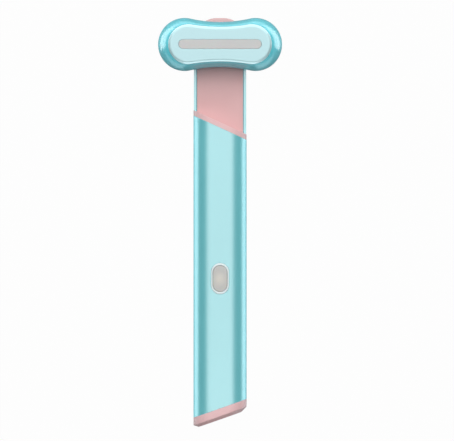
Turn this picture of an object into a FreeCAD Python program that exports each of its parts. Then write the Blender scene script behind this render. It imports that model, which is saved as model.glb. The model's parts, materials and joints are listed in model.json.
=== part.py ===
"""Heated eye massager wand: a slanted anodised handle, a low neck, and a peanut-shaped head that swivels on it.

The wand lies on its back. +Z is up, out of the massage face; +Y runs from the charging end to the head; X is
across. The origin is at the middle of the wand's length and width, on the surface that it lies on. Millimetres.
"""
import FreeCAD, Part
import math
import os
import re
import Sketcher
from FreeCAD import Rotation, Vector

doc = FreeCAD.newDocument("massager_wand")

# ---------------------------------------------------------------- driving dimensions

SIZES = [
    # handle: an extruded tube of stadium section, cut on the slant at both ends
    ("overall_len", "165", "whole wand, from the nose to the lowest corner of the end cap"),
    ("tube_width", "21.4", "handle tube, across"),
    ("tube_height", "15", "handle tube, back to front"),
    ("tube_wall", "1", "handle tube wall"),
    ("neck_height", "6", "height of the neck rails that are left of the tube"),
    ("neck_length", "33.6", "swivel axis to the tube's slanted seam, on the centre line"),
    ("neck_reach", "1.2", "swivel axis to the tube's neck end"),
    ("shoulder_angle", "24.6", "slant of the upper seam, degrees"),
    ("shoulder_band", "2", "thickness of the shoulder cap, square to its slant"),
    ("shoulder_plug", "3", "depth of the shoulder cap's plug in the tube"),
    ("end_angle", "19.4", "slant of the lower seam, degrees"),
    ("end_depth", "4.24", "end cap outside the tube, square to its slant"),
    ("end_bevel_side", "1.4", "end cap bevel, measured on its side"),
    ("end_bevel_face", "2", "end cap bevel, measured on its end face"),
    ("end_wall", "2.4", "end cap's end wall"),
    ("end_plug", "4", "depth of the end cap's plug in the tube"),
    ("plug_wall", "1", "wall of both caps' plugs"),
    ("nose_corner", "9.3", "corner radius of the nose, seen from the front"),
    # clearances
    ("fit_gap", "0.1", "gap round a piece that nests in another"),
    ("snug_gap", "0.05", "gap round a screw, pin or lens in its hole"),
    ("tip_gap", "0.2", "screw hole beyond the screw's tip"),
    ("bearing_gap", "0.03", "radial running gap of the spindle in its bush"),
    ("play", "0.1", "end play of the head on its bush"),
    ("button_gap", "0.08", "gap round the button in its bezel"),
    # neck liner, and the chassis behind it
    ("liner_drop", "0.4", "liner face below the rails"),
    ("liner_plate", "1.4", "thickness of the liner's face plate"),
    ("liner_channel", "12", "width of the liner's cable channel"),
    ("liner_reach", "7", "swivel axis to the liner's upper end"),
    ("liner_tongue_len", "7", "length of the liner's tongue over the chassis"),
    ("liner_tongue_wide", "10", "width of the liner's tongue"),
    ("liner_screw_x", "3.3", "liner screws either side of the centre line"),
    ("chassis_top", "41.8", "swivel axis to the chassis' upper end"),
    ("chassis_gap", "0.2", "gap between chassis and tube"),
    ("chassis_floor", "1.3", "thickness of the chassis floor"),
    ("chassis_channel", "11.6", "width of the chassis channel"),
    ("chassis_start", "0.4", "chassis' lower end above the end cap's plug, along the wand"),
    # swivel
    ("spindle_radius", "3", "spindle"),
    ("spindle_bore", "1.5", "radius of the cable way through the spindle"),
    ("spindle_flats", "9", "spindle's hexagon flange, across its flats"),
    ("spindle_flange", "0.9", "thickness of the hexagon flange"),
    ("collar_wall", "1", "collar round the hexagon flange"),
    ("groove_radius", "2.5", "bottom of the spindle's ring groove"),
    ("bush_radius", "3.9", "bush, outside"),
    ("bush_flange", "5.2", "radius of the bush flange"),
    ("boss_radius", "6", "raised seat of the bush on the liner"),
    ("wave_height", "0.5", "wave washer, free height as fitted"),
    ("wave_strip", "0.2", "wave washer, strip thickness"),
    ("wave_radius", "4.8", "wave washer, outside"),
    ("clip_thick", "0.5", "retaining clip"),
    ("clip_radius", "4.6", "retaining clip, outside"),
    ("spindle_tail", "0.3", "spindle below its clip"),
    ("stop_orbit", "7.3", "stop pin from the swivel axis"),
    ("stop_radius", "0.6", "stop pin"),
    ("stop_depth", "0.85", "stop groove in the liner face"),
    ("stop_side", "0.25", "gap beside the pin in its groove"),
    ("swivel_turn", "180", "whole turn of the head, degrees"),
    # head housing
    ("head_width", "50", "head, across"),
    ("head_depth", "21.4", "head over a lobe"),
    ("head_waist", "18.2", "head over its waist"),
    ("head_gap", "0.5", "gap between neck rails and head"),
    ("head_height", "9.4", "back of the head to the crown round its face"),
    ("cover_height", "2.8", "back cover"),
    ("cover_round", "2.2", "rounding of the back cover"),
    ("cover_floor", "1.2", "floor of the back cover"),
    ("cover_rim", "1.3", "rim of the back cover"),
    ("lip_thick", "0.55", "lip that locates the cover in the shell"),
    ("lip_height", "0.7", "height of that lip"),
    ("shell_wall", "2.2", "shell wall beside the light board"),
    ("ledge_width", "1", "ledge that the light board seats on"),
    ("shell_top", "1", "shell under the face plate"),
    ("crown_rim", "0.35", "shell rim showing round the face plate"),
    ("crown_power", "1.48", "lean of the shell's side: 1 draws an ellipse, 2 a straight cone"),
    ("post_inset_x", "7.2", "head screw posts from the head's side"),
    ("post_inset_y", "5.3", "head screw posts from a lobe's edge"),
    ("post_radius", "1.8", "head screw posts"),
    # massage face
    ("face_margin_x", "4.15", "face plate from the head's side"),
    ("face_margin_y", "2.65", "face plate from a lobe's edge"),
    ("face_margin_waist", "2.1", "face plate from the waist's edge"),
    ("face_thick", "1.3", "face plate"),
    ("face_sunk", "0.4", "face plate let into the crown"),
    ("face_round", "0.9", "rounding of the face plate's edge"),
    ("face_groove", "0.2", "groove round the face plate"),
    ("lens_margin", "4.15", "light window from the face plate's side"),
    ("lens_depth", "3.8", "light window, along"),
    ("lens_sunk", "0.05", "light window below the face"),
    ("lens_flange", "0.8", "thickness of the window's flange"),
    ("lens_flange_out", "1.6", "flange beyond the window, all round"),
    ("film_thick", "0.2", "heater film"),
    ("film_out_x", "1.8", "heater film beyond the window, across"),
    ("film_out_y", "2.2", "heater film beyond the window, along"),
    ("film_slot_out", "0.7", "heater film clear of the window, all round"),
    ("led_height", "0.7", "light emitting diode package"),
    ("led_gap", "0.1", "diodes below the window"),
    ("led_margin", "2.05", "row of diodes from the window's end"),
    ("led_count", "8", "number of diodes"),
    ("led_length", "2", "diode package, across"),
    ("led_depth", "1.6", "diode package, along"),
    ("light_board_thick", "0.8", "light board"),
    ("light_inset_x", "14", "light board screws and plate springs from the head's side"),
    ("light_inset_y", "5.5", "light board screws and plate springs from a lobe's edge"),
    ("light_post_radius", "1.3", "light board screw posts"),
    ("spring_radius", "0.7", "plate springs, to the wire's middle"),
    ("spring_wire", "0.15", "plate springs, wire radius"),
    ("spring_turns", "5", "turns of a plate spring"),
    ("head_socket_wide", "5", "cable socket under the light board, across"),
    ("head_socket_deep", "3.5", "that socket, along"),
    ("head_socket_height", "1.5", "that socket's height"),
    # vibration motor
    ("motor_radius", "2", "motor can"),
    ("motor_inset", "6", "motor's back end from the head's side"),
    ("motor_lift", "0.25", "motor can above the cover floor"),
    ("shaft_radius", "0.4", "motor shaft"),
    ("shaft_tip", "0.2", "motor shaft beyond its weight"),
    ("shaft_in", "2", "motor shaft inside the can"),
    ("weight_radius", "1.85", "eccentric weight"),
    ("weight_length", "2.8", "eccentric weight"),
    ("weight_gap", "0.4", "weight from the can"),
    ("weight_clear", "0.6", "weight from the spindle's collar"),
    ("weight_flat", "0.5", "the weight's flat, above its shaft's middle"),
    ("cradle_width", "6", "motor cradle, along the wand"),
    ("cradle_margin", "1", "motor can beyond its cradle, at each end"),
    ("motor_lead_radius", "0.3", "motor leads"),
    ("motor_lead_x", "1.6", "motor leads behind the can"),
    ("motor_lead_y", "0.8", "motor leads either side of the motor's axis"),
    ("motor_lead_bend", "1", "motor leads' bend"),
    # button
    ("button_reach", "60.8", "upper seam to the middle of the button, on the centre line"),
    ("bezel_wide", "7.2", "button bezel, across"),
    ("bezel_long", "12.5", "button bezel, along"),
    ("bezel_proud", "0.25", "bezel above the handle"),
    ("bezel_flange", "0.65", "thickness of the bezel's flange"),
    ("bezel_flange_out", "0.7", "bezel flange beyond the bezel"),
    ("bezel_seat", "0.05", "bezel flange below the tube's inside, at its edge"),
    ("bezel_round", "0.2", "rounding of the bezel's edge"),
    ("button_wide", "6", "opening in the bezel, across"),
    ("button_long", "10.8", "opening in the bezel, along"),
    ("button_proud", "0.2", "button above the handle"),
    ("button_round", "0.35", "rounding of the button's edge"),
    ("button_flange", "0.8", "button's retaining flange"),
    ("button_flange_out", "0.5", "that flange beyond the button"),
    ("button_stem", "0.25", "stem under the button"),
    ("button_travel", "0.4", "travel of the button"),
    ("window_radius", "1.2", "light guide in the button"),
    ("switch_side", "4.6", "tactile switch body, each side"),
    ("switch_height", "1.4", "tactile switch body"),
    ("switch_floor", "0.4", "floor of the switch body"),
    ("plunger_radius", "0.95", "switch plunger"),
    ("button_led_wide", "1", "diode under the plunger, across"),
    ("button_led_long", "0.6", "that diode, along"),
    ("button_led_height", "0.3", "that diode's height"),
    # electronics in the handle
    ("board_drop", "5.9", "underside of the main board below the tube's top"),
    ("board_thick", "1", "main board"),
    ("board_wide", "15.6", "main board, across"),
    ("board_below", "30", "chassis' upper end to the main board's"),
    ("board_screw_inset", "4", "main board screws from the board's end, and from the cell's"),
    ("board_inset", "3.4", "main board from the end face, square to the slant"),
    ("board_screw_x", "6.75", "main board screws, across"),
    ("cell_wide", "11", "battery cell, across"),
    ("cell_clear", "0.7", "battery cell below the main board"),
    ("cell_gap", "5.4", "battery cell from the charging socket, along"),
    ("cell_below", "19", "battery cell from the board's upper end, along"),
    ("cell_round", "0.8", "rounding of the cell's edges"),
    ("foam_thick", "0.4", "foam strip under the cell"),
    ("foam_margin", "1", "foam strip inside the cell's outline"),
    ("controller_below", "10", "controller chip from the board's upper end"),
    ("controller_side", "5", "controller chip, each side"),
    ("driver_x", "3.5", "coil driver chip's middle, across"),
    ("coil_share", "0.482", "coil and its driver, part of the way from the end face to the button"),
    ("driver_side", "3.2", "coil driver chip, each side"),
    ("coil_x", "3.2", "coil's middle, across"),
    ("coil_side", "4", "coil, each side"),
    ("coil_height", "1.8", "coil"),
    ("charger_share", "0.236", "charger chip, part of that way"),
    ("charger_side", "4", "charger chip, each side"),
    ("chip_height", "0.9", "chips"),
    ("passive_x", "4.6", "rows of small parts either side of the controller"),
    ("passive_pitch", "2.6", "spacing of the small parts"),
    ("passive_long", "1.6", "small parts, along"),
    ("passive_wide", "0.8", "small parts, across"),
    ("passive_height", "0.6", "small parts"),
    ("leaf_share", "0.535", "earth spring's folded end, part of the way from the end face to the button"),
    ("leaf_wide", "3", "earth spring, across"),
    ("leaf_thick", "0.2", "earth spring's strip"),
    ("leaf_foot", "3.2", "earth spring's foot on the board"),
    ("leaf_reach", "3.4", "earth spring's touching ridge from its folded end"),
    ("leaf_tail", "2", "earth spring past its ridge"),
    ("usb_wide", "8.94", "charging socket, across"),
    ("usb_height", "3.26", "charging socket"),
    ("usb_long", "7.35", "charging socket"),
    ("usb_wall", "0.3", "charging socket's sheet metal"),
    ("usb_sunk", "0.6", "charging socket's mouth below the end face"),
    ("usb_back", "0.6", "charging socket's back"),
    ("tongue_wide", "6.7", "charging socket's tongue, across"),
    ("tongue_thick", "0.7", "charging socket's tongue"),
    ("tongue_sunk", "0.6", "tongue below the socket's mouth"),
    ("mouth_gap", "0.15", "end cap's mouth round the socket"),
    ("board_socket_wide", "6", "head cable's socket under the main board, across"),
    ("board_socket_long", "5", "that socket, along"),
    ("board_socket_height", "2.2", "that socket's height"),
    ("plug_long", "4", "head cable's plug"),
    ("plug_wide", "5.2", "head cable's plug, across"),
    ("plug_height", "1.8", "head cable's plug"),
    ("cable_radius", "0.8", "head cable"),
    ("cable_bend", "1.6", "head cable's bend under the spindle"),
    ("cable_sweep", "8", "head cable's gentle bends"),
    ("cable_straight", "4", "head cable straight out of its plug"),
    ("cable_slope", "12", "length of the head cable's slope down to the tube's floor"),
    ("cable_floor", "0.25", "head cable above the tube's inside"),
    ("lead_radius", "0.4", "battery leads"),
    ("lead_spread", "2.75", "battery leads either side of the centre line"),
    ("lead_run", "5", "battery leads out of the cell"),
    ("lead_bend", "2", "battery leads' bend"),
    # fasteners
    ("screw_radius", "0.8", "M1.6 screw"),
    ("screw_head_radius", "1.3", "M1.6 screw head"),
    ("screw_head", "0.9", "M1.6 screw head height"),
    ("screw_length", "5.5", "head screws, under the head"),
    ("liner_screw_length", "3.6", "liner screws, under the head"),
    ("small_screw_radius", "0.6", "M1.2 screw"),
    ("small_head_radius", "1.05", "M1.2 screw head"),
    ("small_head", "0.6", "M1.2 screw head height"),
    ("board_screw_length", "3.6", "main board screws, under the head"),
    ("light_screw_bite", "1.6", "light board screws in their posts"),
    ("cross_width", "0.35", "width of a driver's cross"),
    ("cross_depth", "0.35", "depth of a driver's cross"),
]
NAMES = {name for name, _, _ in SIZES}

sheet = doc.addObject("Spreadsheet::Sheet", "sizes")
for row, (name, number, note) in enumerate(SIZES, start=1):
    sheet.set(f"A{row}", name)
    sheet.set(f"B{row}", number)
    sheet.set(f"C{row}", note)
    sheet.setAlias(f"B{row}", name)
doc.recompute()

# ---------------------------------------------------------------- places worked out from them

NOSE_Y = "(overall_len/2)"
PIVOT_Y = f"({NOSE_Y} - head_depth/2)"
SEAM_Y = f"({PIVOT_Y} - neck_length)"
NECK_END_Y = f"({PIVOT_Y} + neck_reach)"
LINER_END_Y = f"({PIVOT_Y} + liner_reach)"
CHASSIS_TOP_Y = f"({PIVOT_Y} - chassis_top)"
END_FACE_Y = "(-overall_len/2 + (tube_width/2 - end_bevel_face*cos(end_angle))*tan(end_angle))"
END_SEAM_Y = f"({END_FACE_Y} + end_depth/cos(end_angle))"

LINER_TOP = "(neck_height - liner_drop)"
LINER_LOW = f"({LINER_TOP} - liner_plate)"
HEAD_BACK = "(neck_height + head_gap)"
BUSH_TOP = f"({HEAD_BACK} - play)"
CLIP_LOW = f"({LINER_LOW} - wave_height - clip_thick)"
COVER_TOP = f"({HEAD_BACK} + cover_height)"
COVER_FLOOR = f"({HEAD_BACK} + cover_floor)"
CROWN = f"({HEAD_BACK} + head_height)"
FACE_LOW = f"({CROWN} - face_sunk)"
FACE_TOP = f"({FACE_LOW} + face_thick)"
TOP_WALL = f"({FACE_LOW} - shell_top)"
LENS_LOW = f"({TOP_WALL} - lens_flange)"
LIGHT_TOP = f"({LENS_LOW} - led_gap - led_height)"
LIGHT_LOW = f"({LIGHT_TOP} - light_board_thick)"
MOTOR_Z = f"({COVER_FLOOR} + motor_lift + motor_radius)"

FACE_WIDTH = "(head_width - 2*face_margin_x)"
FACE_DEPTH = "(head_depth - 2*face_margin_y)"
FACE_WAIST = "(head_waist - 2*face_margin_waist)"
LENS_WIDTH = f"({FACE_WIDTH} - 2*lens_margin)"
POST_X, POST_Y = "(head_width/2 - post_inset_x)", "(head_depth/2 - post_inset_y)"
LIGHT_X, LIGHT_Y = "(head_width/2 - light_inset_x)", "(head_depth/2 - light_inset_y)"
COLLAR_RADIUS = "(spindle_flats/2/cos(30) + collar_wall)"
MOTOR_BACK_X = "(motor_inset - head_width/2)"
MOTOR_END_X = f"(-({COLLAR_RADIUS} + weight_clear + weight_length + weight_gap))"

TUBE_STRAIGHT = "((tube_width - tube_height)/2)"
TUBE_MIDDLE = "(tube_height/2)"
CHASSIS_INSET = "(tube_wall + chassis_gap)"
CHASSIS_FLOOR = f"({CHASSIS_INSET} + chassis_floor)"
BOARD_LEVEL = "(tube_height - board_drop)"
BOARD_TOP = f"({BOARD_LEVEL} + board_thick)"
CELL_THICK = f"({BOARD_LEVEL} - cell_clear - {CHASSIS_FLOOR} - foam_thick)"
BOARD_END_Y = f"({CHASSIS_TOP_Y} - board_below)"
BUTTON_Y = f"({SEAM_Y} - button_reach)"
SOCKET_BACK_Y = f"({END_FACE_Y} + (usb_sunk + usb_long)*cos(end_angle) + usb_wide/2*sin(end_angle))"
CELL_LOW_Y = f"({SOCKET_BACK_Y} + cell_gap)"
CELL_HIGH_Y = f"({BOARD_END_Y} - cell_below)"
LOWER_REACH = f"({BUTTON_Y} - ({END_FACE_Y}))"
BEZEL_REACH = f"max(0; bezel_wide/2 + bezel_flange_out - {TUBE_STRAIGHT})"
BEZEL_SHELF = f"(tube_height/2 + sqrt((tube_height/2 - tube_wall)^2 - {BEZEL_REACH}^2) - bezel_seat)"
BEZEL_LOW = f"({BEZEL_SHELF} - bezel_flange)"
BUTTON_LOW = f"({BEZEL_LOW} - snug_gap - button_flange)"
PLUNGER_TOP = f"({BUTTON_LOW} - button_stem)"
CABLE_Z = "(tube_wall + cable_floor + cable_radius)"
SLOPE_TOP_Y = f"({BOARD_END_Y} + plug_long + cable_straight)"
SLOPE_LOW_Y = f"({SLOPE_TOP_Y} + cable_slope)"
SCREW_SEAT = f"({HEAD_BACK} + fit_gap + screw_head)"
LINER_SCREW_Y = f"({CHASSIS_TOP_Y} - liner_tongue_len/2)"

FAR = "(2*overall_len)"


def bound(text):
    """The expression with every alias in it read from the sheet."""
    return re.sub(r"[a-z][a-z_]*", lambda m: "sizes." + m[0] if m[0] in NAMES else m[0], text)


def value(text):
    return float(sheet.evalExpression(bound(text)))


def bind(thing, prop, text):
    thing.setExpression(prop, bound(text))


# ---------------------------------------------------------------- sketch shapes

def fix(sketch, kind, target, text):
    """A dimension of the sketch, held at an expression."""
    index = sketch.addConstraint(Sketcher.Constraint(kind, *target, value(text)))
    bind(sketch, f"Constraints[{index}]", text)


def fix_point(sketch, geometry, end, x, y):
    fix(sketch, "DistanceX", (geometry, end), x)
    fix(sketch, "DistanceY", (geometry, end), y)


def draw_circle(sketch, x, y, radius):
    centre = Vector(value(x), value(y), 0)
    circle = sketch.addGeometry(Part.Circle(centre, Vector(0, 0, 1), value(radius)))
    fix_point(sketch, circle, 3, x, y)
    fix(sketch, "Radius", (circle,), radius)


def draw_polygon(sketch, points):
    places = [Vector(value(x), value(y), 0) for x, y in points]
    count = len(points)
    lines = [sketch.addGeometry(Part.LineSegment(places[i], places[(i + 1) % count])) for i in range(count)]
    for i in range(count):
        sketch.addConstraint(Sketcher.Constraint("Coincident", lines[i], 2, lines[(i + 1) % count], 1))
        fix_point(sketch, lines[i], 1, *points[i])


def draw_box(sketch, x_low, x_high, y_low, y_high):
    draw_polygon(sketch, [(x_low, y_low), (x_high, y_low), (x_high, y_high), (x_low, y_high)])


def draw_block(sketch, x, y, wide, long):
    """A rectangle about its middle."""
    draw_box(sketch, f"{x} - {wide}/2", f"{x} + {wide}/2", f"{y} - {long}/2", f"{y} + {long}/2")


def join_tangent(sketch, joints):
    """Joins the ends of curves so that each runs smoothly into the next."""
    for first, first_end, second, second_end in joints:
        sketch.addConstraint(Sketcher.Constraint("Tangent", first, first_end, second, second_end))


def draw_stadium(sketch, x, y, straight, radius, upright=False):
    """Two half circles with straight sides; straight is half the distance between their centres."""
    cx, cy, s, r = (value(text) for text in (x, y, straight, radius))
    shape = FreeCAD.Placement(Vector(cx, cy, 0), Rotation(Vector(0, 0, 1), 90 if upright else 0))

    def half_circle(side, start):
        circle = Part.Circle(shape.multVec(Vector(side * s, 0, 0)), Vector(0, 0, 1), r)
        first = math.radians(start + (90 if upright else 0))
        return sketch.addGeometry(Part.ArcOfCircle(circle, first, first + math.pi))

    def side(begin, end):
        return sketch.addGeometry(Part.LineSegment(shape.multVec(begin), shape.multVec(end)))

    right = half_circle(1, -90)
    top = side(Vector(s, r, 0), Vector(-s, r, 0))
    left = half_circle(-1, 90)
    low = side(Vector(-s, -r, 0), Vector(s, -r, 0))
    join_tangent(sketch, [(right, 2, top, 1), (top, 2, left, 1), (left, 2, low, 1), (low, 2, right, 1)])
    plus, minus = f"{straight}", f"-({straight})"
    for arc, along in ((right, plus), (left, minus)):
        if upright:
            fix_point(sketch, arc, 3, x, f"{y} + {along}")
        else:
            fix_point(sketch, arc, 3, f"{x} + {along}", y)
    fix(sketch, "Radius", (right,), radius)
    sketch.addConstraint(Sketcher.Constraint("Equal", right, left))


def draw_peanut(sketch, width, depth, waist):
    """Two round lobes joined by a shallow hollow waist, centred on the sketch's origin."""
    lobe, half_waist = f"(({depth})/2)", f"(({waist})/2)"
    reach = f"(({width})/2 - {lobe})"
    hollow = f"(({reach}^2 + {half_waist}^2 - {lobe}^2)/(2*({lobe} - {half_waist})))"
    r, c, w, big = (value(text) for text in (lobe, reach, half_waist, hollow))
    tilt = math.atan2(big + w, c)  # from a lobe's centre to the hollow's centre

    def arc(x, y, radius, first, last):
        circle = Part.Circle(Vector(x, y, 0), Vector(0, 0, 1), radius)
        return sketch.addGeometry(Part.ArcOfCircle(circle, first, last))

    right = arc(c, 0, r, tilt - math.pi, math.pi - tilt)
    top = arc(0, big + w, big, tilt - math.pi, -tilt)
    left = arc(-c, 0, r, tilt, 2 * math.pi - tilt)
    low = arc(0, -big - w, big, tilt, math.pi - tilt)
    join_tangent(sketch, [(right, 2, top, 2), (top, 1, left, 1), (left, 2, low, 2), (low, 1, right, 1)])
    fix_point(sketch, right, 3, reach, "0")
    fix_point(sketch, left, 3, f"-{reach}", "0")
    fix(sketch, "Radius", (right,), lobe)
    fix(sketch, "Radius", (top,), hollow)
    sketch.addConstraint(Sketcher.Constraint("Equal", right, left))
    sketch.addConstraint(Sketcher.Constraint("Equal", top, low))


def draw_section(sketch, inset):
    """The handle's stadium section, taken in by inset all round. The sketch's Y is the wand's Z."""
    draw_stadium(sketch, "0", TUBE_MIDDLE, TUBE_STRAIGHT, f"tube_height/2 - ({inset})")


# ---------------------------------------------------------------- bodies

class Piece:
    """A PartDesign body that is built up from sketches on its own origin planes."""

    def __init__(self, label, x="0", y="0", z="0"):
        self.body = doc.addObject("PartDesign::Body", label)
        self.planes = {feature.Role: feature for feature in self.body.Origin.OriginFeatures}
        for axis, text in (("x", x), ("y", y), ("z", z)):
            bind(self.body, f".Placement.Base.{axis}", text)
        self.cuts = []
        pieces[label] = self.body

    def sketch(self, draw, plane, level):
        """A sketch at a level along the plane's axis; the XZ plane faces -Y."""
        sketch = self.body.newObject("Sketcher::SketchObject", self.body.Name + "_sketch")
        sketch.AttachmentSupport = (self.planes[plane + "_Plane"], "")
        sketch.MapMode = "FlatFace"
        bind(sketch, ".AttachmentOffset.Base.z", f"-({level})" if plane == "XZ" else level)
        draw(sketch)
        return sketch

    def pad(self, draw, low, high, plane="XY"):
        start = high if plane == "XZ" else low
        pad = self.body.newObject("PartDesign::Pad", self.body.Name + "_pad")
        pad.Profile = self.sketch(draw, plane, start)
        bind(pad, "Length", f"{high} - ({low})")
        return pad

    def pocket(self, draw, low, high, plane="XY"):
        start = low if plane == "XZ" else high
        pocket = self.body.newObject("PartDesign::Pocket", self.body.Name + "_pocket")
        pocket.Profile = self.sketch(draw, plane, start)
        bind(pocket, "Length", f"{high} - ({low})")
        self.cuts.append(pocket)
        return pocket

    def revolve(self, draw):
        """Turns a sketch of the XZ plane about the body's Z axis."""
        turn = self.body.newObject("PartDesign::Revolution", self.body.Name + "_turned")
        turn.Profile = self.sketch(draw, "XZ", "0")
        turn.ReferenceAxis = (turn.Profile[0], ["V_Axis"])
        turn.Angle = 360
        return turn

    def loft(self, sections):
        """A smooth skin through (draw, level) sections."""
        sketches = [self.sketch(draw, "XY", level) for draw, level in sections]
        loft = self.body.newObject("PartDesign::AdditiveLoft", self.body.Name + "_loft")
        loft.Profile = sketches[0]
        loft.Sections = sketches[1:]
        return loft

    def round_edges(self, base, level, radius, kind="Fillet"):
        """Rounds or bevels every edge of the base feature that lies flat at a level."""
        doc.recompute()
        z = value(level)
        flat = [
            f"Edge{i}"
            for i, edge in enumerate(base.Shape.Edges, start=1)
            if abs(edge.BoundBox.ZMin - z) < 1e-3 and abs(edge.BoundBox.ZMax - z) < 1e-3
        ]
        rounding = self.body.newObject(f"PartDesign::{kind}", self.body.Name + "_edge")
        rounding.Base = (base, flat)
        bind(rounding, "Radius" if kind == "Fillet" else "Size", radius)
        return rounding


pieces = {}


# ---------------------------------------------------------------- solids that are cut on the slant

def prism(draw, plane, low, high):
    """A sketch extruded from low to high: along Z from the XY plane, or along Y from the XZ plane."""
    sketch = doc.addObject("Sketcher::SketchObject", "outline")
    if plane == "XZ":
        sketch.Placement.Rotation = Rotation(Vector(1, 0, 0), 90)
        bind(sketch, ".Placement.Base.y", high)
    else:
        bind(sketch, ".Placement.Base.z", low)
    draw(sketch)
    return extrude(sketch, f"{high} - ({low})")


def extrude(sketch, length):
    solid = doc.addObject("Part::Extrusion", "prism")
    solid.Base = sketch
    solid.DirMode = "Normal"
    solid.Solid = True
    bind(solid, "LengthFwd", length)
    return solid


def tube_prism(inset, low, high):
    """The handle's section, taken in by inset, along the wand."""
    return prism(lambda sketch: draw_section(sketch, inset), "XZ", low, high)


def slab(x, y_low, y_high, z_low, z_high):
    """A block centred across the wand; x is its whole width."""
    half = f"({x})/2"
    return prism(lambda sketch: draw_box(sketch, f"-{half}", half, y_low, y_high), "XY", z_low, z_high)


def slanted(seam, slope, towards, z_low="-tube_height", z_high="2*tube_height"):
    """Everything on one side of a slanted plane that crosses the centre line at seam."""
    edge = "tube_width"
    points = [
        (f"-{edge}", f"{seam} - {edge}*{slope}"),
        (edge, f"{seam} + {edge}*{slope}"),
        (edge, towards),
        (f"-{edge}", towards),
    ]
    return prism(lambda sketch: draw_polygon(sketch, points), "XY", z_low, z_high)


def drum(x, y, radius, low, high, turn="360", first="0"):
    """An upright cylinder, or the sector of one that starts at the angle first."""
    cylinder = doc.addObject("Part::Cylinder", "drum")
    bind(cylinder, "Radius", radius)
    bind(cylinder, "Height", f"{high} - ({low})")
    bind(cylinder, "Angle", turn)
    for axis, text in (("x", x), ("y", y), ("z", low)):
        bind(cylinder, f".Placement.Base.{axis}", text)
    cylinder.Placement.Rotation = Rotation(Vector(0, 0, 1), value(first))
    return cylinder


def cut(base, *tools):
    for tool in tools:
        rest = doc.addObject("Part::Cut", "cut")
        rest.Base, rest.Tool, rest.Refine = base, tool, True
        base = rest
    return base


def fuse(*shapes):
    whole = doc.addObject("Part::MultiFuse", "fuse")
    whole.Shapes, whole.Refine = list(shapes), True
    return whole


def common(*shapes):
    shared = doc.addObject("Part::MultiCommon", "common")
    shared.Shapes, shared.Refine = list(shapes), True
    return shared


def keep(label, thing):
    thing.Label = label
    pieces[label] = thing
    return thing


LINER_SCREWS = [(f"{side}*liner_screw_x", LINER_SCREW_Y) for side in ("-1", "1")]
SHOULDER_SLOPE = "(-tan(shoulder_angle))"
END_SLOPE = "tan(end_angle)"


# ---------------------------------------------------------------- handle and neck casings

def handle_tube():
    """Anodised extrusion: slanted at the end, and cut down to two low rails along the neck."""
    outside = tube_prism("0", "-overall_len", NECK_END_Y)
    inside = tube_prism("tube_wall", "-2*overall_len", FAR)
    end_waste = slanted(END_SEAM_Y, END_SLOPE, f"-{FAR}")
    neck_waste = slanted(SEAM_Y, SHOULDER_SLOPE, FAR, "neck_height")
    hole = prism(
        lambda sketch: draw_stadium(
            sketch, "0", BUTTON_Y, "(bezel_long - bezel_wide)/2", "bezel_wide/2 + snug_gap", True
        ),
        "XY", TUBE_MIDDLE, "2*tube_height",
    )
    keep("handle_tube", cut(outside, inside, end_waste, neck_waste, hole))


def shoulder_cap():
    """Closes the slanted mouth above the neck: a flush band, and a plug inside the tube."""
    drop = "shoulder_band/cos(shoulder_angle)"
    below = slanted(SEAM_Y, SHOULDER_SLOPE, f"-{FAR}")
    above = slanted(f"({SEAM_Y} + {drop})", SHOULDER_SLOPE, FAR)
    low_waste = slab("2*tube_width", f"-{FAR}", FAR, "-tube_height", "neck_height")
    lip_waste = slab("2*tube_width", f"-{FAR}", FAR, "-tube_height", f"{LINER_TOP} + snug_gap")
    band = cut(tube_prism("0", "0", NOSE_Y), below, above, low_waste)
    lip = cut(tube_prism("tube_wall + fit_gap", "0", NOSE_Y), below, above, lip_waste)
    plug_end = f"({SEAM_Y} - shoulder_plug/cos(shoulder_angle))"
    plug = cut(
        tube_prism("tube_wall + fit_gap", "0", NOSE_Y),
        tube_prism("tube_wall + fit_gap + plug_wall", "-tube_width", FAR),
        slanted(plug_end, SHOULDER_SLOPE, f"-{FAR}"),
        above,
        low_waste,
    )
    keep("shoulder_cap", fuse(band, lip, plug))


def end_cap():
    """Closes the charging end: a bevelled slanted cap with a plug, and a mouth for the socket."""
    outer_half = slanted(END_FACE_Y, END_SLOPE, f"-{FAR}")
    inner_half = slanted(END_SEAM_Y, END_SLOPE, FAR)
    block = cut(tube_prism("0", "-overall_len", "0"), outer_half, inner_half)
    doc.recompute()
    normal = Vector(math.sin(math.radians(value("end_angle"))), -math.cos(math.radians(value("end_angle"))), 0)
    face = max(range(len(block.Shape.Faces)), key=lambda i: block.Shape.Faces[i].CenterOfMass.dot(normal))
    rim = block.Shape.Faces[face].Edges
    bevel = doc.addObject("Part::Chamfer", "bevel")
    bevel.Base = block
    sizes = (value("end_bevel_side"), value("end_bevel_face"))
    bevel.Edges = [
        (i, *sizes)
        for i, edge in enumerate(block.Shape.Edges, start=1)
        if any(edge.isSame(other) for other in rim)
    ]
    plug_end = f"({END_SEAM_Y} + end_plug/cos(end_angle))"
    plug = cut(
        tube_prism("tube_wall + fit_gap", "-overall_len", "0"),
        slanted(END_SEAM_Y, END_SLOPE, f"-{FAR}"),
        slanted(plug_end, END_SLOPE, FAR),
    )
    hollow_start = f"({END_FACE_Y} + end_wall/cos(end_angle))"
    hollow = cut(
        tube_prism("tube_wall + fit_gap + plug_wall", "-overall_len", "0"),
        slanted(hollow_start, END_SLOPE, f"-{FAR}"),
    )
    keep("end_cap", cut(fuse(bevel, plug), hollow, socket_mouth()))


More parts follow.
